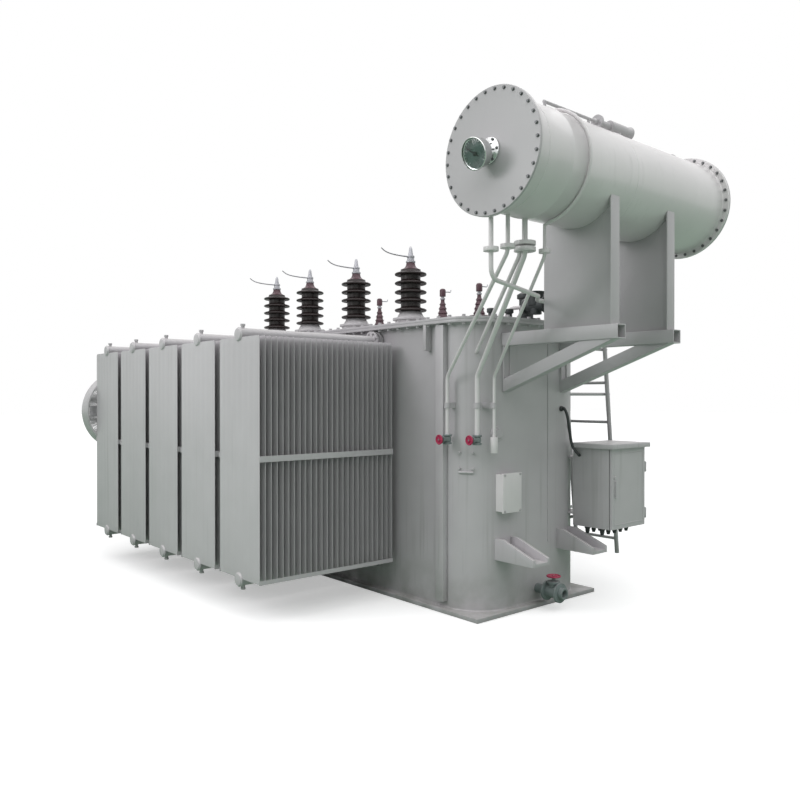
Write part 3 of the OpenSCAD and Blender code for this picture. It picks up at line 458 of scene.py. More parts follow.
def bolt_tree():
    """Hexagon heads with washers on points that carry an axis."""
    if "bolt_heads" in bpy.data.node_groups:
        return bpy.data.node_groups["bolt_heads"]
    tree, g, start, end = new_group(
        "bolt_heads", "GeometryNodeTree",
        (MESH_END, ("Head", "NodeSocketFloat"), ("Height", "NodeSocketFloat"), ("Washer", "NodeSocketFloat"),
         ("Rise", "NodeSocketVector"), MATERIAL_END), (MESH_END,))
    given = start.outputs
    head = g.add("GeometryNodeMeshCylinder", Vertices=HEAD_SIDES, Radius=given["Head"], Depth=given["Height"])
    washer = g.add("GeometryNodeMeshCylinder", Vertices=WASHER_SIDES, Radius=given["Washer"], Depth=WASHER_T)
    lift = g.add("GeometryNodeTransform", Geometry=head.outputs["Mesh"], Translation=given["Rise"])
    both = g.add("GeometryNodeJoinGeometry", Geometry=lift.outputs["Geometry"])
    g.put(both.inputs["Geometry"], washer.outputs["Mesh"])
    axis = g.add("GeometryNodeInputNamedAttribute", {"data_type": "FLOAT_VECTOR"}, Name="axis")
    align = g.add("FunctionNodeAlignRotationToVector", {"axis": "Z"}, Vector=axis.outputs["Attribute"])
    spread = g.add("GeometryNodeInstanceOnPoints", Points=given["Geometry"],
                   Instance=both.outputs["Geometry"], Rotation=align.outputs["Rotation"])
    real = g.add("GeometryNodeRealizeInstances", Geometry=spread.outputs["Instances"])
    done = g.add("GeometryNodeSetMaterial", Geometry=real.outputs["Geometry"], Material=given["Material"])
    g.put(end.inputs["Geometry"], done.outputs["Geometry"])
    return tree


def panel_tree():
    """A row of panels joined to the header pipes they hang between."""
    if "panel_stack" in bpy.data.node_groups:
        return bpy.data.node_groups["panel_stack"]
    tree, g, start, end = new_group(
        "panel_stack", "GeometryNodeTree",
        (MESH_END, ("Panel", "NodeSocketObject"), ("Count", "NodeSocketInt"), ("First", "NodeSocketVector"),
         ("Pitch", "NodeSocketVector"), MATERIAL_END), (MESH_END,))
    given = start.outputs
    line = g.add("GeometryNodeMeshLine", Count=given["Count"], Start_Location=given["First"],
                 Offset=given["Pitch"])
    panel = g.add("GeometryNodeObjectInfo", Object=given["Panel"])
    spread = g.add("GeometryNodeInstanceOnPoints", Points=line.outputs["Mesh"],
                   Instance=panel.outputs["Geometry"])
    real = g.add("GeometryNodeRealizeInstances", Geometry=spread.outputs["Instances"])
    both = g.add("GeometryNodeJoinGeometry", Geometry=real.outputs["Geometry"])
    g.put(both.inputs["Geometry"], given["Geometry"])
    done = g.add("GeometryNodeSetMaterial", Geometry=both.outputs["Geometry"], Material=given["Material"])
    g.put(end.inputs["Geometry"], done.outputs["Geometry"])
    return tree


def patterned(name, base, tree, values):
    """Plain mesh that a tree makes from a base mesh with the given named inputs."""
    source = bpy.data.objects.new(name + "_source", base)
    bpy.context.scene.collection.objects.link(source)
    change = source.modifiers.new("pattern", "NODES")
    change.node_group = tree
    sockets = {item.name: item.identifier for item in tree.interface.items_tree if item.in_out == "INPUT"}
    for label, value in values.items():
        change[sockets[label]] = value
    source.update_tag()
    bpy.context.view_layer.update()
    graph = bpy.context.evaluated_depsgraph_get()
    mesh = bpy.data.meshes.new_from_object(source.evaluated_get(graph), depsgraph=graph)
    mesh.name = name
    source.modifiers.clear()
    bpy.data.objects.remove(source)
    if not mesh.polygons:
        raise RuntimeError(name + " came out empty")
    return mesh


def bolts(name, spots, width, material, body=ROOT):
    """One piece with a bolt head at each (place, axis)."""
    base = bpy.data.meshes.new(name + "_points")
    base.from_pydata([place for place, axis in spots], [], [])
    data = base.attributes.new("axis", "FLOAT_VECTOR", "POINT")
    for i, (place, axis) in enumerate(spots):
        data.data[i].vector = axis
    height = HEAD_RISE * width
    mesh = patterned(name, base, bolt_tree(), {
        "Head": width / math.sqrt(3), "Height": height, "Washer": WASHER_R * width,
        "Rise": Vector((0, 0, height / 2 + WASHER_GAP)), "Material": material})
    return add_object(name, mesh, body)


# Materials

SURFACE_ENDS = (("Color", "NodeSocketColor"), ("Roughness", "NodeSocketFloat"), ("Height", "NodeSocketFloat"))
BUMP = 0.6
COAT_ROUGHNESS = 0.2
STREAK_SCALE = (22, 22, 0.7)

# Each paint's wear, share of clear gloss and colour setting
PAINTS = {
    "grey_paint": (1.0, 0.15, "colour"),
    "radiator_paint": (0.7, 0.15, "colour"),
    "cabinet_paint": (0.8, 0.15, "colour"),
    "end_cover_paint": (0.4, 0.3, "colour"),
    # The conservator takes the paler copy of the grey paint as painted light, for the bright top of its drum
    # under the top light
    "conservator_paint": (0.35, 0.7, "pale"),
    "pipe_paint": (0.3, 0.3, "pale"),
    "terminal_box_paint": (0.4, 0.3, "pale"),
}

# Each fitting's colour setting, roughness, wear, grain, bump depth and other shader inputs
FINISHES = {
    "dark_glaze": ("porcelain", 0.3, 0.03, 40.0, 0.00006, {"Specular IOR Level": 0.35}),
    "brown_resin": ("brown", 0.35, 0.05, 120.0, 0.00004, {"Specular IOR Level": 0.3}),
    "bare_metal": ("metal", 0.42, 0.1, 300.0, 0.00004, {"Metallic": 0.6}),
    "gauge_chrome": ("chrome", 0.14, 0.05, 200.0, 0.00002, {"Metallic": 1.0}),
    "gauge_dial": ("dial", 0.3, 0.0, 90.0, 0.00005, {}),
    "gauge_mark_white": ("marks", 0.5, 0.0, 260.0, 0.00005, {}),
    "dark_fitting": ("dark", 0.5, 0.25, 260.0, 0.00005, {}),
    "bolt_steel": ("bolt", 0.45, 0.2, 260.0, 0.00005, {"Metallic": 0.5}),
    "valve_enamel": ("green", 0.42, 0.2, 260.0, 0.00005, {}),
    "wheel_enamel": ("red", 0.4, 0.12, 260.0, 0.00005, {}),
}


def paint_group():
    """Paint with tone drift, dust on top faces, splashes near the ground, streaks and a fine ripple."""
    if "weathered_paint" in bpy.data.node_groups:
        return bpy.data.node_groups["weathered_paint"]
    tree, g, start, end = new_group(
        "weathered_paint", "ShaderNodeTree",
        (("Color", "NodeSocketColor"), ("Dust", "NodeSocketColor"), ("Grime", "NodeSocketColor"),
         ("Roughness", "NodeSocketFloat"), ("Wear", "NodeSocketFloat")), SURFACE_ENDS)
    given = start.outputs
    spot = g.add("ShaderNodeTexCoord").outputs["Object"]
    broad = g.noise(spot, 0.9, 3)
    patch = g.noise(spot, 6.0, 4)
    fine = g.noise(spot, 60.0, 3)
    drawn_out = g.add("ShaderNodeMapping", Vector=spot, Scale=STREAK_SCALE).outputs["Vector"]
    streak = g.span(g.noise(drawn_out, 1.0, 3), 0.56, 0.78)
    normal = g.z_part(g.add("ShaderNodeNewGeometry").outputs["Normal"])
    height = g.z_part(spot)
    top = g.maths("MULTIPLY", g.span(normal, 0.35, 0.95), g.span(patch, 0.3, 0.7, 0.45, 1.0))
    low = g.maths("MULTIPLY", g.span(height, 0.42, 0.02), g.span(patch, 0.35, 0.65))
    stains = g.maths("MULTIPLY", streak, g.span(broad, 0.42, 0.7, 0.0, 0.5))
    stains = g.maths("MULTIPLY", stains, g.span(normal, 0.6, 0.2))
    tone = g.maths("MULTIPLY", g.span(broad, 0.3, 0.7, 0.93, 1.04), g.span(patch, 0.3, 0.7, 0.975, 1.02))
    dusty = g.mix(g.maths("MULTIPLY", top, 0.55), g.scaled(given["Color"], tone), given["Dust"])
    dirty = g.maths("MAXIMUM", g.maths("MULTIPLY", low, 0.6), stains)
    dirty = g.maths("MULTIPLY", dirty, given["Wear"])
    g.put(end.inputs["Color"], g.mix(dirty, dusty, given["Grime"]))
    rough = g.maths("ADD", given["Roughness"], g.span(patch, 0.3, 0.7, -0.05, 0.07))
    rough = g.maths("ADD", rough, g.maths("MULTIPLY", top, 0.22))
    g.put(end.inputs["Roughness"], g.maths("ADD", rough, g.maths("MULTIPLY", dirty, 0.25), clamp=True))
    peel = g.noise(spot, 380.0, 1)
    g.put(end.inputs["Height"], g.maths("ADD", peel, g.maths("MULTIPLY", fine, 0.8)))
    return tree


def worn_group():
    """Small fittings: tone drift in patches, dulled tops, fine grain."""
    if "worn_surface" in bpy.data.node_groups:
        return bpy.data.node_groups["worn_surface"]
    tree, g, start, end = new_group(
        "worn_surface", "ShaderNodeTree",
        (("Color", "NodeSocketColor"), ("Dust", "NodeSocketColor"), ("Roughness", "NodeSocketFloat"),
         ("Grain", "NodeSocketFloat"), ("Wear", "NodeSocketFloat")), SURFACE_ENDS)
    given = start.outputs
    spot = g.add("ShaderNodeTexCoord").outputs["Object"]
    patch = g.noise(spot, 18.0, 4)
    normal = g.z_part(g.add("ShaderNodeNewGeometry").outputs["Normal"])
    top = g.maths("MULTIPLY", g.span(normal, 0.3, 1.0), g.span(patch, 0.35, 0.65, 0.3, 1.0))
    tone = g.scaled(given["Color"], g.span(patch, 0.25, 0.75, 0.82, 1.15))
    share = g.maths("MULTIPLY", top, given["Wear"])
    g.put(end.inputs["Color"], g.mix(share, tone, given["Dust"]))
    rough = g.maths("ADD", given["Roughness"], g.span(patch, 0.3, 0.7, -0.04, 0.08))
    g.put(end.inputs["Roughness"], g.maths("ADD", rough, g.maths("MULTIPLY", share, 0.4), clamp=True))
    g.put(end.inputs["Height"], g.noise(spot, given["Grain"]))
    return tree


def surface(name, group, values, depth, constants):
    """Principled material fed by a group's colour, roughness and bump height."""
    if name in bpy.data.materials:
        return bpy.data.materials[name]
    material = bpy.data.materials.new(name)
    material.use_nodes = True
    g = Graph(material.node_tree)
    shader = material.node_tree.nodes["Principled BSDF"]
    source = g.add("ShaderNodeGroup", {"node_tree": group})
    for key, value in values.items():
        source.inputs[key].default_value = value
    g.put(shader.inputs["Base Color"], source.outputs["Color"])
    g.put(shader.inputs["Roughness"], source.outputs["Roughness"])
    bump = g.add("ShaderNodeBump", Height=source.outputs["Height"], Distance=depth, Strength=BUMP)
    g.put(shader.inputs["Normal"], bump.outputs["Normal"])
    for key, value in constants.items():
        shader.inputs[key].default_value = value
    return material


def paint(name="grey_paint"):
    """A paint of the steelwork, by its name in PAINTS."""
    wear, coat, colour = PAINTS[name]
    look = bpy.context.scene.transformer_paint
    return surface(name, paint_group(), {
        "Color": getattr(look, colour), "Dust": look.dust, "Grime": look.grime, "Roughness": look.roughness,
        "Wear": wear}, look.peel, {"Coat Weight": coat, "Coat Roughness": COAT_ROUGHNESS})


def finish(name):
    """A small fitting's surface, by its name in FINISHES."""
    colour, roughness, wear, grain, depth, constants = FINISHES[name]
    scene = bpy.context.scene
    return surface(name, worn_group(), {
        "Color": getattr(scene.transformer_finish, colour), "Dust": scene.transformer_paint.dust,
        "Roughness": roughness, "Grain": grain, "Wear": wear}, depth, constants)


def clear_glass():
    """Glass with a slight haze in patches."""
    glass = bpy.data.materials.new("gauge_glass")
    glass.use_nodes = True
    g = Graph(glass.node_tree)
    shader = glass.node_tree.nodes["Principled BSDF"]
    shader.inputs["Transmission Weight"].default_value = 1.0
    shader.inputs["IOR"].default_value = 1.45
    spot = g.add("ShaderNodeTexCoord").outputs["Object"]
    haze = g.span(g.noise(spot, 30.0, 3), 0.35, 0.75)
    g.put(shader.inputs["Roughness"], g.span(haze, 0, 1, 0.01, 0.06))
    g.put(shader.inputs["Base Color"], g.mix(haze, (0.95, 0.98, 0.97, 1), (0.88, 0.93, 0.91, 1)))
    return glass


# Operators


class TRANSFORMER_OT_steelwork(bpy.types.Operator):
    """Finishes base, tank, cover, brackets and ladder with rounded edges and weld beads"""

    bl_idname = "transformer.steelwork"
    bl_label = "Steelwork"

    BEVELS = {
        "tank_rim": 0.003, "tank_stiffeners": 0.008, "lifting_lugs": 0.005, "jacking_pads": 0.003,
        "cover": 0.003, "radiator_links": 0.003, "conservator_saddles": 0.002, "conservator_arms": 0.006,
        "conservator_struts": 0.004, "conservator_fittings": 0.002, "pipe_clamps": 0.002,
        "ladder_rails": 0.003, "ladder_rungs": 0.002, "ladder_brackets": 0.002,
        "fan_housings": 0.002, "radiator_valves": 0.002, "bushing_turrets": 0.003,
    }
    BASE_BEVEL = 0.004
    # Height and radius of the weld beads
    BASE_BEAD = (0.031, 0.009)
    RIM_BEAD = (RIM_Z - 0.001, 0.008)
    # Blind flange and boss on the end wall: profile, place and axis
    FLANGE = ((0, -0.01), (0.052, -0.01), (0.052, 0.014), (0.05, 0.016), (0.03, 0.016), (0.03, 0.03),
              (0.028, 0.032), (0, 0.032))
    FLANGE_AT = ((2.085, -0.395, 1.264), (0.97, -0.25, 0))
    BOSS = ((0, -0.01), (0.022, -0.01), (0.022, 0.01), (0.02, 0.012), (0, 0.012))
    BOSS_AT = ((2.088, 0.402, 1.3), (0.96, 0.275, 0))
    # Corners of the raised seam on the end wall
    SEAM = ((WALL_X - 0.004, 0.14, 0.45), (WALL_X + 0.006, 0.156, 2.02))
    # Studs on the rounded corner by angle and height, and a lip under them
    STUD = ((0, -0.004), (0.009, -0.004), (0.009, 0.016), (0.007, 0.018), (0, 0.018))
    STUD_TURNS = (-70, -51)
    STUD_Z = (1.02, 1.13)
    LIP_TURNS = range(-71, -49, 3)
    LIP_Z = 0.995
    LIP_OUT = 0.006
    LIP_R = 0.009

    def execute(self, context):
        grey = paint()
        for node, bevel in self.BEVELS.items():
            dressed(node, bevel, grey)
        dressed("base_plate", self.BASE_BEVEL, grey, extra=self.base_details)
        dressed("tank_body", 0.0, grey, extra=self.tank_details)
        return {"FINISHED"}

    def bead(self, shape, z, radius):
        """Weld round the tank's wall."""
        line = [p + Vector((0, 0, z)) for p in rounded_outline(WALL_X, WALL_Y, TANK_R)]
        sweep(shape, line, radius, sides=8, closed=True)

    def base_details(self, shape):
        """Weld where the wall stands on the base plate."""
        self.bead(shape, *self.BASE_BEAD)

    def tank_details(self, shape):
        """Weld under the rim, a flange, a seam and a boss on the end wall, studs and a lip on the corner."""
        self.bead(shape, *self.RIM_BEAD)
        lathe(shape, self.FLANGE, facing(*self.FLANGE_AT), steps=40)
        block(shape, *self.SEAM)
        lathe(shape, self.BOSS, facing(*self.BOSS_AT), steps=24)
        corner = Vector((WALL_X - TANK_R, TANK_R - WALL_Y, 0))
        for turn in self.STUD_TURNS:
            out = self.outward(turn)
            for z in self.STUD_Z:
                lathe(shape, self.STUD, facing(corner + TANK_R * out + Vector((0, 0, z)), out), steps=14)
        lift = corner + Vector((0, 0, self.LIP_Z))
        lip = [lift + (TANK_R + self.LIP_OUT) * self.outward(a) for a in self.LIP_TURNS]
        sweep(shape, lip, self.LIP_R, sides=8)

    def outward(self, degrees):
        """Level direction by its angle from +X."""
        return Vector((math.cos(math.radians(degrees)), math.sin(math.radians(degrees)), 0))


class TRANSFORMER_OT_radiators(bpy.types.Operator):
    """Builds both banks of radiators from pressed panels, header pipes and tie strips"""

    bl_idname = "transformer.radiators"
    bl_label = "Radiators"

    # Lowest and highest point of a panel
    ENDS = (0.285, 1.925)
    # Start and end of the flange on the header pipe, and its radius
    FLANGE = (0.054, 0.07, FLANGE_R)
    # Low and high edge of the tie strips, and their thickness
    STRIPS = ((1.09, 1.13, TIE_T), (0.282, 0.31, 0.004))
    # From a panel's end inwards: distance, share of the full depth, and cut at each side
    TAPER = ((0.0, 0.36, 0.018), (0.006, 0.5, 0.004), (0.03, 0.85, 0.0), (0.055, 1.0, 0.0))
    FLUTE_STEPS = 6
    # A panel's edge thins out over one part in this many of its width
    EDGE_SLOPE = 10
    VALLEY = 0.62
    THINNEST = 0.3
    END_PAST = 0.016
    PLUG = ((0, 0), (0.013, 0), (0.013, 0.02), (0.017, 0.02), (0.017, 0.034), (0, 0.034))
    PLUG_INSET = 0.045
    PLUG_SINK = 0.006

    def execute(self, context):
        look = context.scene.transformer_radiators
        panel = bpy.data.objects.new("one_panel", self.panel(look))
        context.scene.collection.objects.link(panel)
        for side, label, bays in ((-1, "front", FRONT_BAYS), (1, "rear", REAR_BAYS)):
            node = label + "_radiators"
            for i, x in enumerate(bays):
                name = f"{label}_radiator_{i + 1}"
                mesh = patterned(name, self.headers(look, x, side), panel_tree(), {
                    "Panel": panel, "Count": look.panels,
                    "First": Vector((x, side * (WALL_Y + look.first), 0)),
                    "Pitch": Vector((0, side * look.pitch, 0)), "Material": paint("radiator_paint")})
                add_object(name, mesh, ROOT, (node,))
        bpy.data.objects.remove(panel)
        return {"FINISHED"}

    def panel(self, look):
        """One pressed panel, thin at its edges and shallowly fluted between them."""
        half = look.width / 2
        across = []
        steps = self.FLUTE_STEPS * look.flutes
        for i in range(steps + 1):
            u = i / steps
            edge = min(1.0, self.EDGE_SLOPE * min(u, 1 - u))
            swell = 0.5 - 0.5 * math.cos(2 * math.pi * look.flutes * u)
            across.append((u * 2 - 1, edge * (self.VALLEY + (1 - self.VALLEY) * swell)))
        rows = [(self.ENDS[0] + rise, deep, cut) for rise, deep, cut in self.TAPER]
        rows += [(self.ENDS[1] - rise, deep, cut) for rise, deep, cut in reversed(self.TAPER)]
        shape = bmesh.new()
        rings = []
        for z, deep, cut in rows:
            front = []
            back = []
            for u, share in across:
                y = look.thickness / 2 * max(self.THINNEST, share * deep)
                front.append(shape.verts.new((u * (half - cut), -y, z)))
                back.append(shape.verts.new((u * (half - cut), y, z)))
            rings.append(front + back[::-1])
        skin(shape, rings)
        count = len(rings[0])
        for ends in (rings[0], rings[-1]):
            for k in range(len(across) - 1):
                shape.faces.new([ends[k], ends[k + 1], ends[count - 2 - k], ends[count - 1 - k]])
        return to_mesh("one_panel", shape)

    def headers(self, look, x, side):
        """Header pipes with flanges, collared ends and plugs, and the tie strips."""
        shape = bmesh.new()
        r = look.header
        reach = look.first + (look.panels - 1) * look.pitch
        end = reach + self.END_PAST
        low, high, flange_r = self.FLANGE
        for z, way in zip(HEADER_Z, (-1, 1)):
            place = facing((x, side * WALL_Y, z), (0, side, 0))
            profile = [(0, low), (flange_r - 0.002, low), (flange_r, low + 0.002), (flange_r, high - 0.002),
                       (flange_r - 0.002, high), (r + 0.006, high), (r, high + 0.006), (r, end - 0.024),
                       (r + 0.005, end - 0.02), (r + 0.005, end - 0.012), (r, end - 0.008),
                       (r - 0.004, end - 0.002), (r - 0.014, end), (0, end)]
            lathe(shape, profile, place, steps=36)
            plug = (x, side * (WALL_Y + end - self.PLUG_INSET), z + way * (r - self.PLUG_SINK))
            lathe(shape, self.PLUG, facing(plug, (0, 0, way)), steps=6)
        first = side * (WALL_Y + look.first - look.thickness / 2)
        last = side * (WALL_Y + reach + look.thickness / 2)
        for z0, z1, t in self.STRIPS:
            for way in (-1, 1):
                near = x + way * look.width / 2
                block(shape, (min(near, near + way * t), min(first, last), z0),
                      (max(near, near + way * t), max(first, last), z1))
        return to_mesh("headers", shape)


class TRANSFORMER_OT_bushings(bpy.types.Operator):
    """Builds the glazed bushings with their caps and arcing horns"""

    bl_idname = "transformer.bushings"
    bl_label = "Bushings"

    HV_FOOT = 0.116
    HV_SHEDS = 5
    HV_SHED_Z = 0.003
    HV_PITCH = 0.0713
    HV_NECK = 0.078
    HV_RIM = 0.127
    HV_CONE = ((0, 0.33), (0.076, 0.33), (0.08, 0.335), (0.06, 0.343), (0.045, 0.355), (0.037, 0.372),
               (0.034, 0.39), (0, 0.39))
    HV_CAP = ((0, 0.39), (0.036, 0.39), (0.038, 0.393), (0.038, 0.403), (0.035, 0.406), (0.029, 0.408),
              (0.027, 0.43), (0.031, 0.433), (0.031, 0.443), (0.028, 0.446), (0.021, 0.45), (0.016, 0.475),
              (0.013, 0.5), (0.008, 0.515), (0, 0.522))
    # Horn from its height on the bushing: distance out and rise
    HV_HORN_Z = 0.438
    HV_HORN = ((0, 0), (-0.1, -0.002), (-0.2, 0.002), (-0.26, 0.014), (-0.3, 0.036))
    HV_HORN_R = 0.006
    HORN_TIP = 0.7
    LV_FOOT = 0.112
    LV_FLANGE = ((0, 0), (0.084, 0), (0.086, 0.002), (0.086, 0.014), (0.083, 0.018), (0.056, 0.021))
    LV_SHEDS = 4
    LV_SHED_Z = 0.03
    LV_SHED_R = 0.05
    LV_PITCH = 0.038
    LV_TAPER = 0.007
    LV_NECK = ((0.017, 0.184), (0.016, 0.195), (0, 0.195))
    LV_BOOT = ((0, 0.222), (0.024, 0.222), (0.027, 0.226), (0.027, 0.275), (0.024, 0.284), (0.016, 0.291),
               (0, 0.294))
    LV_CAP = ((0, 0.194), (0.02, 0.194), (0.022, 0.197), (0.022, 0.207), (0.019, 0.21), (0.014, 0.212),
              (0.014, 0.224), (0, 0.224))
    # Horn from its height on the bushing: share of its reach and rise
    LV_HORN_Z = 0.264
    LV_HORN = ((0, 0), (0.6, 0.004), (0.92, 0.006), (1, 0.025))
    LV_HORN_R = 0.0055
    LV_HORN_INSET = 0.006

    def execute(self, context):
        sheds = bmesh.new()
        cones = bmesh.new()
        caps = bmesh.new()
        for x in HV_X:
            place = Matrix.Translation((x, HV_Y, COVER_Z + self.HV_FOOT))
            lathe(sheds, self.hv_profile(), place, steps=72)
            lathe(cones, self.HV_CONE, place, steps=48)
            lathe(caps, self.HV_CAP, place, steps=40)
            self.horn(caps, place, self.HV_HORN_Z, self.HV_HORN, reach=1.0, radius=self.HV_HORN_R)
        to_piece("hv_porcelain_sheds", sheds, finish("dark_glaze"),
                 nodes=("hv_porcelains",))
        to_piece("hv_top_cones", cones, finish("brown_resin"))
        to_piece("hv_caps_and_horns", caps, finish("bare_metal"), nodes=("hv_terminals",))
        bodies = bmesh.new()
        tips = bmesh.new()
        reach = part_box("lv_terminals")[1].y - LV_Y - self.LV_HORN_INSET
        for x in LV_X:
            place = Matrix.Translation((x, LV_Y, COVER_Z + self.LV_FOOT))
            lathe(bodies, self.lv_profile(), place, steps=48)
            lathe(bodies, self.LV_BOOT, place, steps=32)
            lathe(tips, self.LV_CAP, place, steps=32)
            self.horn(tips, place, self.LV_HORN_Z, self.LV_HORN, reach=reach, radius=self.LV_HORN_R)
        to_piece("lv_resin_bodies", bodies, finish("brown_resin"),
                 nodes=("lv_porcelains",))
        to_piece("lv_caps_and_horns", tips, finish("bare_metal"), nodes=("lv_terminals",))
        return {"FINISHED"}

    def horn(self, shape, place, z, steps, reach, radius):
        """Curved rod that thins towards its end."""
        line = curve_through([place @ Vector((0, out * reach, z + rise)) for out, rise in steps])
        sweep(shape, line, radius, sides=10, tip=self.HORN_TIP)

    def hv_profile(self):
        """Sheds with round rims, a shallow drip groove and a sloping top."""
        neck = self.HV_NECK
        rim = self.HV_RIM
        points = [(0, 0), (0.082, 0), (0.084, 0.004), (0.082, 0.01), (neck, 0.016)]
        for i in range(self.HV_SHEDS):
            z = self.HV_SHED_Z + self.HV_PITCH * i
            points += [(neck + 0.002, z + 0.012), (0.1, z + 0.009), (0.112, z + 0.004), (0.12, z + 0.001),
                       (rim - 0.002, z + 0.004), (rim, z + 0.01), (rim - 0.002, z + 0.016),
                       (0.116, z + 0.021), (0.098, z + 0.025), (neck + 0.006, z + 0.03), (neck, z + 0.038)]
        return points[:-1] + [(neck, 0.333), (0.07, 0.335), (0, 0.335)]

    def lv_profile(self):
        """Flange, then sheds that shrink towards the neck."""
        points = list(self.LV_FLANGE)
        for i in range(self.LV_SHEDS):
            z = self.LV_SHED_Z + self.LV_PITCH * i
            r = self.LV_SHED_R - self.LV_TAPER * i
            points += [(r - 0.006, z), (r, z + 0.004), (r, z + 0.008), (r - 0.01, z + 0.024)]
        return points + list(self.LV_NECK)


class TRANSFORMER_OT_conservator(bpy.types.Operator):
    """Builds the conservator's shell, end covers and oil gauge"""

    bl_idname = "transformer.conservator"
    bl_label = "Conservator"

    SHELL_R = 0.325
    SHELL_T = 0.006
    FLANGE_R = 0.367
    COVER_T = 0.014
    # Seams and band round the shell: distance from the near end, width and height
    RINGS = ((0.13, 0.012, 0.003), (0.33, 0.034, 0.004), (1.0, 0.012, 0.002))
    SHELL_STEPS = 128
    GAUGE_TILT = math.radians(18)
    GAUGE_STEPS = 72
    GAUGE_FLANGE = ((0, 0), (0.074, 0), (0.076, 0.002), (0.076, 0.012), (0.074, 0.014), (0, 0.014))
    GAUGE_CASE = ((0, -0.006), (0.05, -0.006), (0.05, 0.055), (0.058, 0.066), (0.078, 0.074), (0.08, 0.08),
                  (0.08, 0.128), (0.089, 0.13), (0.091, 0.133), (0.091, 0.141), (0.089, 0.144),
                  (0.0865, 0.144), (0.085, 0.141), (0.085, 0.126), (0, 0.126))
    DIAL = ((0, 0.1255), (0.0835, 0.1255), (0.0835, 0.128), (0, 0.128))
    TICKS = 21
    TICK_START = -130
    TICK_TURN = 13
    LONG_EVERY = 5
    TICK_HALF = 0.0012
    TICK_Z = (0.128, 0.1288)
    TICK_OUTER = 0.077
    TICK_INNER = 0.067
    LONG_INNER = 0.06
    NEEDLE_TURN = 52
    NEEDLE = ((-0.004, -0.03, 0.1295), (0.004, 0.068, 0.1315))
    NEEDLE_HUB = ((0, 0.128), (0.012, 0.128), (0.012, 0.133), (0.009, 0.1345), (0, 0.1345))
    PANE = ((0, 0.136), (0.0835, 0.136), (0.0835, 0.139), (0.08, 0.1405), (0, 0.142))

    def execute(self, context):
        place = facing((CONS_X, CONS_LOW.y, CONS_Z), (0, 1, 0))
        length = CONS_HIGH.y - CONS_LOW.y
        r = self.SHELL_R
        f = self.FLANGE_R
        c = self.COVER_T
        half = [(r - self.SHELL_T, c), (f - 0.002, c), (f, c + 0.002), (f, c + 0.014), (f - 0.002, c + 0.016),
                (r + 0.009, c + 0.016), (r + 0.006, c + 0.022), (r, c + 0.027)]
        rings = []
        for at, wide, high in self.RINGS:
            rings += [(r, at), (r + high, at + 0.25 * wide), (r + high, at + 0.75 * wide), (r, at + wide)]
        other_half = [(radius, length - z) for radius, z in reversed(half)]
        shape = bmesh.new()
        lathe(shape, half + rings + other_half, place, self.SHELL_STEPS, closed=True)
        # The drum's paler paint is painted light: a brighter copy of the grey paint for its top under the top
        # light
        to_piece("conservator_drum", shape, paint("conservator_paint"),
                 nodes=("conservator_shell",))
        covers = bmesh.new()
        for end, way in CONS_ENDS:
            lathe(covers, [(0, 0), (f - 0.003, 0), (f, 0.003), (f, c - 0.001), (f - 0.001, c), (0, c)],
                  facing((CONS_X, end, CONS_Z), (0, -way, 0)), self.SHELL_STEPS)
        to_piece("conservator_covers", covers, paint("end_cover_paint"),
                 nodes=("conservator_end_covers",))
        self.gauge()
        return {"FINISHED"}

    def gauge(self):
        """Magnetic oil gauge: flange, neck, polished case, dial with ticks and needle behind glass."""
        centre = Vector((CONS_X, CONS_LOW.y, CONS_Z))
        face = facing(centre, (0, -math.cos(self.GAUGE_TILT), -math.sin(self.GAUGE_TILT)))
        case = bmesh.new()
        lathe(case, self.GAUGE_FLANGE, facing(centre, NEAR), self.GAUGE_STEPS)
        lathe(case, self.GAUGE_CASE, face, self.GAUGE_STEPS)
        to_piece("gauge_case", case, finish("gauge_chrome"), nodes=("oil_level_gauge",))
        dial = bmesh.new()
        lathe(dial, self.DIAL, face, steps=64)
        to_piece("gauge_dial", dial, finish("gauge_dial"))
        marks = bmesh.new()
        low, high = self.TICK_Z
        for i in range(self.TICKS):
            spin = face @ Matrix.Rotation(math.radians(self.TICK_START + self.TICK_TURN * i), 4, "Z")
            inner = self.TICK_INNER if i % self.LONG_EVERY else self.LONG_INNER
            block(marks, (-self.TICK_HALF, inner, low), (self.TICK_HALF, self.TICK_OUTER, high), spin)
        to_piece("gauge_marks", marks, finish("gauge_mark_white"))
        needle = bmesh.new()
        block(needle, *self.NEEDLE, face @ Matrix.Rotation(math.radians(self.NEEDLE_TURN), 4, "Z"))
        lathe(needle, self.NEEDLE_HUB, face, steps=24)
        to_piece("gauge_needle", needle, finish("dark_fitting"))
        pane = bmesh.new()
        lathe(pane, self.PANE, face, steps=64)
        to_piece("gauge_pane", pane, clear_glass(), nodes=("gauge_glass",))


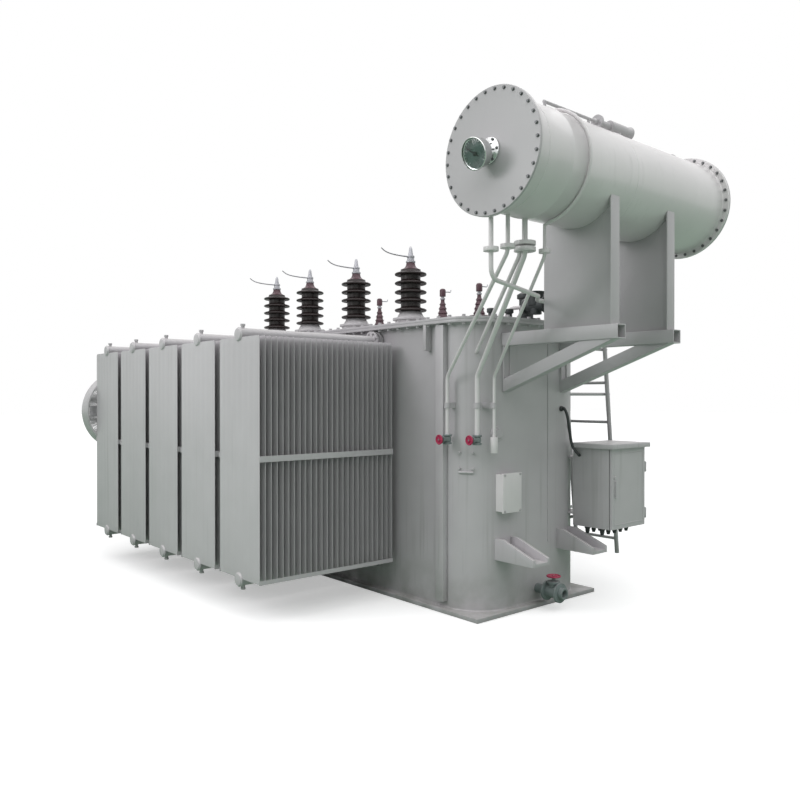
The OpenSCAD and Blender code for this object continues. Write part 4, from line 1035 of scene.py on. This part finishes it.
class TRANSFORMER_OT_pipes(bpy.types.Operator):
    """Finishes the pipes, the relay, the cover's fittings and the conduit"""

    bl_idname = "transformer.pipes"
    bl_label = "Pipes"

    PIPE_BEVEL = 0.0015
    DARK_BEVELS = {"buchholz_relay": 0.003, "cover_fittings": 0.002}
    CONDUIT_AT = (2.098, 0.3, 1.43)
    CONDUIT_NUT = ((0, 0), (0.02, 0), (0.02, 0.014), (0.015, 0.022), (0, 0.022))
    CONDUIT = ((2.1, 0.3, 1.43), (2.13, 0.302, 1.43), (2.15, 0.315, 1.37), (2.152, 0.34, 1.25),
               (2.16, 0.362, 1.15), (2.2, 0.378, 1.09), (2.2, 0.396, 1.08))
    CONDUIT_R = 0.011

    def execute(self, context):
        for node in ("main_oil_pipe", "breather_pipe", "service_pipes"):
            dressed(node, self.PIPE_BEVEL, paint("pipe_paint"))
        for node, bevel in self.DARK_BEVELS.items():
            dressed(node, bevel, finish("dark_fitting"))
        conduit = bmesh.new()
        sweep(conduit, curve_through(self.CONDUIT), self.CONDUIT_R, sides=14)
        lathe(conduit, self.CONDUIT_NUT, facing(self.CONDUIT_AT, (1, 0, 0)), steps=20)
        to_piece("cabinet_conduit", conduit, finish("dark_fitting"))
        return {"FINISHED"}


class TRANSFORMER_OT_valves(bpy.types.Operator):
    """Finishes the valves and their handwheels"""

    bl_idname = "transformer.valves"
    bl_label = "Valves"

    VALVE_BEVEL = 0.0015
    WHEEL_BEVEL = 0.001
    WEB_HALF = 0.001
    WEB_INNER = 0.012
    WEB_INSET = 0.004

    def execute(self, context):
        dressed("gate_valves", self.VALVE_BEVEL, finish("valve_enamel"))
        for name in ("fill", "filter", "drain"):
            node = name + "_valve_wheel"
            dressed(node, self.WHEEL_BEVEL, finish("wheel_enamel"), name + "_wheel",
                    lambda shape: self.web(shape, node))
        return {"FINISHED"}

    def web(self, shape, node):
        """Thin web between a wheel's hub and rim."""
        low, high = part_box(node)
        axis = UP if node.startswith("drain") else NEAR
        r = (high.x - low.x) / 2 - self.WEB_INSET
        t = self.WEB_HALF
        profile = [(self.WEB_INNER, -t), (r, -t), (r, t), (self.WEB_INNER, t)]
        lathe(shape, profile, facing((low + high) / 2, axis), steps=40, closed=True)


class TRANSFORMER_OT_cabinet(bpy.types.Operator):
    """Finishes the control cabinet, its door, the glands and the terminal box"""

    bl_idname = "transformer.cabinet"
    bl_label = "Cabinet"

    BODY_BEVEL = 0.002
    BOX_BEVEL = 0.003
    GLAND_BEVEL = 0.001
    DOOR_X = 2.483
    RIB = ((0.425, 0.585), (0.795, 0.585), (0.795, 1.105), (0.425, 1.105))
    RIB_R = 0.003
    LOCK_AT = (DOOR_X, 0.43, 0.93)
    LOCK = ((0, 0), (0.012, 0), (0.012, 0.006), (0.01, 0.008), (0, 0.008))

    def execute(self, context):
        grey = paint("cabinet_paint")
        dressed("cabinet_body", self.BODY_BEVEL, grey)
        dressed("cabinet_door", 0.0, grey, "door", self.door_details)
        dressed("terminal_box", self.BOX_BEVEL, paint("terminal_box_paint"))
        dressed("cable_glands", self.GLAND_BEVEL, finish("dark_fitting"))
        return {"FINISHED"}

    def door_details(self, shape):
        """Raised rib round the door's face and a lock barrel."""
        corners = [Vector((self.DOOR_X, y, z)) for y, z in self.RIB]
        for a, b in zip(corners, corners[1:] + corners[:1]):
            sweep(shape, [a, b], self.RIB_R, sides=6)
        lathe(shape, self.LOCK, facing(self.LOCK_AT, (1, 0, 0)), steps=20)


class TRANSFORMER_OT_fans(bpy.types.Operator):
    """Builds the fans' twisted blades and wire guards"""

    bl_idname = "transformer.fans"
    bl_label = "Fans"

    HUB = ((0, 0), (0.07, 0), (0.07, 0.055), (0.06, 0.066), (0, 0.068))
    BLADES = 6
    BLADE_ROWS = 6
    BLADE_ROOT = 0.064
    BLADE_LENGTH = 0.285
    ROOT_PITCH = 38
    PITCH_FALL = 18
    BLADE_HALF = 0.05
    BLADE_SWELL = 0.012
    BLADE_MID = 0.034
    BLADE_LEAN = 0.8
    BLADE_HALF_T = 0.002
    # Guards set in from the far and the near face of a fan's ring
    GUARD_INSETS = (0.004, 0.01)
    WIRES = 26
    WIRE_FIRST = 0.09
    WIRE_PITCH = 0.0115
    WIRE_R = 0.0032
    WIRE_STEPS = 48
    SPOKES = 8
    SPOKE_ENDS = (0.085, 0.38)
    SPOKE_R = 0.004

    def execute(self, context):
        blades = bmesh.new()
        guard = bmesh.new()
        hub_x = (FAN_LOW.x + FAN_HIGH.x) / 2
        far, near = self.GUARD_INSETS
        for side in (-1, 1):
            place = facing((hub_x, side * FAN_Y, FAN_Z), (1, 0, 0))
            lathe(blades, self.HUB, place, steps=40)
            for i in range(self.BLADES):
                self.blade(blades, place @ Matrix.Rotation(2 * math.pi * i / self.BLADES, 4, "Z"))
            self.wires(guard, facing((FAN_LOW.x + far, side * FAN_Y, FAN_Z), (-1, 0, 0)))
            self.wires(guard, facing((FAN_HIGH.x - near, side * FAN_Y, FAN_Z), (1, 0, 0)))
        to_piece("fan_rotors", blades, finish("bare_metal"), nodes=("fan_blades",))
        to_piece("fan_guards", guard, paint())
        return {"FINISHED"}

    def wires(self, shape, place):
        """Rings of wire on spokes."""
        turns = [2 * math.pi * i / self.WIRE_STEPS for i in range(self.WIRE_STEPS)]
        for k in range(self.WIRES):
            r = self.WIRE_FIRST + self.WIRE_PITCH * k
            wire = [place @ Vector((r * math.cos(a), r * math.sin(a), 0)) for a in turns]
            sweep(shape, wire, self.WIRE_R, sides=5, closed=True)
        inner, outer = self.SPOKE_ENDS
        for i in range(self.SPOKES):
            a = 2 * math.pi * (i + 0.5) / self.SPOKES
            out = Vector((math.cos(a), math.sin(a), 0))
            sweep(shape, [place @ (inner * out), place @ (outer * out)], self.SPOKE_R, sides=6)

    def blade(self, shape, place):
        """One blade whose pitch falls from root to tip."""
        rows = []
        for i in range(self.BLADE_ROWS + 1):
            share = i / self.BLADE_ROWS
            r = self.BLADE_ROOT + self.BLADE_LENGTH * share
            pitch = math.radians(self.ROOT_PITCH - self.PITCH_FALL * share)
            half = self.BLADE_HALF + self.BLADE_SWELL * math.sin(math.pi * share)
            row = []
            for s, t in ((-1, -1), (1, -1), (1, 1), (-1, 1)):
                rise = s * half * math.sin(pitch) * self.BLADE_LEAN + t * self.BLADE_HALF_T
                point = Vector((r, s * half * math.cos(pitch), self.BLADE_MID + rise))
                row.append(shape.verts.new(place @ point))
            rows.append(row)
        skin(shape, rows)
        shape.faces.new(rows[0][::-1])
        shape.faces.new(rows[-1])


class TRANSFORMER_OT_bolts(bpy.types.Operator):
    """Sets bolt heads on the cover, the conservator's ends, the flanges and the boxes"""

    bl_idname = "transformer.bolts"
    bl_label = "Bolts"

    RIM_OUT = 0.036
    END_RING_R = 0.347
    END_GRIP = 0.03
    FLANGE_RING_R = 0.067
    FLANGE_BOLTS = 8
    # Distances from the tank wall of the outer and inner faces of the radiators' flanges
    FLANGE_FACES = (0.07, 0.012)
    GAUGE_RING_R = 0.065
    GAUGE_BOLTS = 6
    GAUGE_FLANGE_T = 0.014
    LID_X = 2.165
    LID_Y = (-0.4, -0.24)
    LID_Z = (0.727, 0.979)

    def execute(self, context):
        look = context.scene.transformer_bolts
        steel = finish("bolt_steel")
        grey = paint()
        out = self.RIM_OUT
        outline = along_outline(rounded_outline(WALL_X + out, WALL_Y + out, TANK_R + out), look.rim_spacing)
        rim = [(p + Vector((0, 0, COVER_Z)), UP) for p in outline]
        rim += [(p + Vector((0, 0, RIM_Z)), -UP) for p in outline]
        bolts("rim_bolts", rim, look.cover_head, grey)
        ends = []
        for end, way in CONS_ENDS:
            back = end - self.END_GRIP * way
            ends += ring((CONS_X, end, CONS_Z), (0, way, 0), self.END_RING_R, look.cover_count)
            ends += ring((CONS_X, back, CONS_Z), (0, -way, 0), self.END_RING_R, look.cover_count)
        bolts("end_cover_bolts", ends, look.end_head, steel)
        bolts("radiator_flange_bolts", self.flange_spots(), look.flange_head, grey)
        face = (CONS_X, CONS_LOW.y - self.GAUGE_FLANGE_T, CONS_Z)
        gauge = ring(face, NEAR, self.GAUGE_RING_R, self.GAUGE_BOLTS)
        bolts("gauge_bolts", gauge, look.small_head, steel)
        lid = [(Vector((self.LID_X, y, z)), Vector((1, 0, 0))) for y in self.LID_Y for z in self.LID_Z]
        bolts("terminal_box_bolts", lid, look.small_head, grey)
        return {"FINISHED"}

    def flange_spots(self):
        """Both faces of every flange between a header pipe and its valve."""
        outer, inner = self.FLANGE_FACES
        start = math.pi / self.FLANGE_BOLTS
        spots = []
        for side, bays in ((-1, FRONT_BAYS), (1, REAR_BAYS)):
            for x in bays:
                for z in HEADER_Z:
                    for off, way in ((outer, side), (inner, -side)):
                        spots += ring((x, side * (WALL_Y + off), z), (0, way, 0), self.FLANGE_RING_R,
                                      self.FLANGE_BOLTS, start)
        return spots


class TRANSFORMER_OT_stage(bpy.types.Operator):
    """Sets the floor, the light and the camera"""

    bl_idname = "transformer.stage"
    bl_label = "Stage"

    SUN_Z = 6
    SUN_ANGLE = math.radians(100)
    TOP_WAY = (-0.12, 0.1, -1)
    FILL_WAY = (-0.8, 0.1, -0.5)
    KEY = Vector((-0.3, -7.0, 4.5))
    AIM = Vector((1.6, -1.2, 1.0))
    KEY_SIZE = 3.0
    KEY_SPREAD = math.radians(82)
    KEY_COLOUR = (1.0, 0.98, 1.0)
    SKY_COLOUR = (0.97, 0.98, 1.0, 1)
    WHITE = (1, 1, 1, 1)
    SENSOR = 36
    LOOK_WAY = Vector((-0.7615, 0.648, -0.0052))
    FLOOR_HALF = 60
    FLOOR_DROP = 0.001
    # What the camera sees of the floor: a pale tone and a glow that lifts it to white
    SEEN_FLOOR = (0.8, 0.8, 0.8, 1)
    GLOW = 0.42

    def execute(self, context):
        look = context.scene.transformer_stage
        scene = context.scene
        scene.view_settings.view_transform = "Standard"
        self.floor(look)
        self.world(scene, look)
        for name, strength, way in (("top", look.top, self.TOP_WAY), ("fill", look.fill, self.FILL_WAY)):
            light = bpy.data.lights.new(name, "SUN")
            light.energy = strength
            light.angle = self.SUN_ANGLE
            self.lamp(light, Vector((0, 0, self.SUN_Z)), Vector(way))
        key = bpy.data.lights.new("key", "AREA")
        key.energy = look.key
        key.size = self.KEY_SIZE
        key.spread = self.KEY_SPREAD
        key.color = self.KEY_COLOUR
        self.lamp(key, self.KEY, self.AIM - self.KEY)
        camera = bpy.data.cameras.new("camera")
        camera.lens = look.lens
        camera.sensor_width = self.SENSOR
        eye = bpy.data.objects.new("camera", camera)
        eye.location = look.eye
        eye.rotation_euler = self.LOOK_WAY.to_track_quat("-Z", "Y").to_euler()
        scene.collection.objects.link(eye)
        scene.camera = eye
        return {"FINISHED"}

    def lamp(self, light, place, way):
        """Puts a light at a place, shining along a way."""
        lamp = bpy.data.objects.new(light.name, light)
        lamp.location = place
        lamp.rotation_euler = way.to_track_quat("-Z", "Y").to_euler()
        bpy.context.scene.collection.objects.link(lamp)

    def floor(self, look):
        """Floor that throws its colour on the pieces, and is white to the camera outside shadows."""
        mesh = bpy.data.meshes.new("floor")
        h = self.FLOOR_HALF
        mesh.from_pydata([(-h, -h, 0), (h, -h, 0), (h, h, 0), (-h, h, 0)], [], [(0, 1, 2, 3)])
        ground = bpy.data.objects.new("floor", mesh)
        ground.location.z = -self.FLOOR_DROP
        bpy.context.scene.collection.objects.link(ground)
        material = bpy.data.materials.new("floor")
        material.use_nodes = True
        material.node_tree.nodes.clear()
        g = Graph(material.node_tree)
        plain = g.add("ShaderNodeBsdfDiffuse", Color=look.floor)
        pale = g.add("ShaderNodeBsdfDiffuse", Color=self.SEEN_FLOOR)
        glow = g.add("ShaderNodeEmission", Color=self.WHITE, Strength=self.GLOW)
        lifted = g.add("ShaderNodeAddShader")
        g.put(lifted.inputs[0], pale.outputs[0])
        g.put(lifted.inputs[1], glow.outputs[0])
        ray = g.add("ShaderNodeLightPath")
        shader = self.either(g, ray.outputs["Is Camera Ray"], plain, lifted)
        g.add("ShaderNodeOutputMaterial", Surface=shader)
        mesh.materials.append(material)

    def world(self, scene, look):
        """Soft sky for the light, plain white for camera, glossy and transmission rays."""
        world = bpy.data.worlds.new("studio")
        world.use_nodes = True
        world.node_tree.nodes.clear()
        g = Graph(world.node_tree)
        ray = g.add("ShaderNodeLightPath")
        seen = g.maths("MAXIMUM", ray.outputs["Is Camera Ray"], ray.outputs["Is Glossy Ray"])
        seen = g.maths("MAXIMUM", seen, ray.outputs["Is Transmission Ray"])
        sky = g.add("ShaderNodeBackground", Color=self.SKY_COLOUR, Strength=look.sky)
        white = g.add("ShaderNodeBackground", Color=self.WHITE, Strength=1.0)
        g.add("ShaderNodeOutputWorld", Surface=self.either(g, seen, sky, white))
        scene.world = world

    def either(self, g, share, first, second):
        """Mix of two shaders."""
        pick = g.add("ShaderNodeMixShader")
        g.put(pick.inputs[0], share)
        g.put(pick.inputs[1], first.outputs[0])
        g.put(pick.inputs[2], second.outputs[0])
        return pick.outputs[0]


OPERATORS = (
    TRANSFORMER_OT_steelwork,
    TRANSFORMER_OT_radiators,
    TRANSFORMER_OT_bushings,
    TRANSFORMER_OT_conservator,
    TRANSFORMER_OT_pipes,
    TRANSFORMER_OT_valves,
    TRANSFORMER_OT_cabinet,
    TRANSFORMER_OT_fans,
    TRANSFORMER_OT_bolts,
    TRANSFORMER_OT_stage,
)


class TRANSFORMER_PT_looks(bpy.types.Panel):
    """Lists the steps that dress the transformer"""

    bl_idname = "TRANSFORMER_PT_looks"
    bl_label = "Transformer looks"
    bl_space_type = "VIEW_3D"
    bl_region_type = "UI"
    bl_category = "Transformer"

    def draw(self, context):
        for step in OPERATORS:
            self.layout.operator(step.bl_idname)


def register():
    for name, group in SETTINGS.items():
        bpy.utils.register_class(group)
        setattr(bpy.types.Scene, name, bpy.props.PointerProperty(type=group))
    for step in OPERATORS:
        bpy.utils.register_class(step)
    bpy.utils.register_class(TRANSFORMER_PT_looks)


def unregister():
    bpy.utils.unregister_class(TRANSFORMER_PT_looks)
    for step in reversed(OPERATORS):
        bpy.utils.unregister_class(step)
    for name, group in reversed(list(SETTINGS.items())):
        delattr(bpy.types.Scene, name)
        bpy.utils.unregister_class(group)


def main():
    register()
    bpy.ops.transformer.steelwork()
    bpy.ops.transformer.radiators()
    bpy.ops.transformer.bushings()
    bpy.ops.transformer.conservator()
    bpy.ops.transformer.pipes()
    bpy.ops.transformer.valves()
    bpy.ops.transformer.cabinet()
    bpy.ops.transformer.fans()
    bpy.ops.transformer.bolts()
    bpy.ops.transformer.stage()


if __name__ == "__main__":
    main()
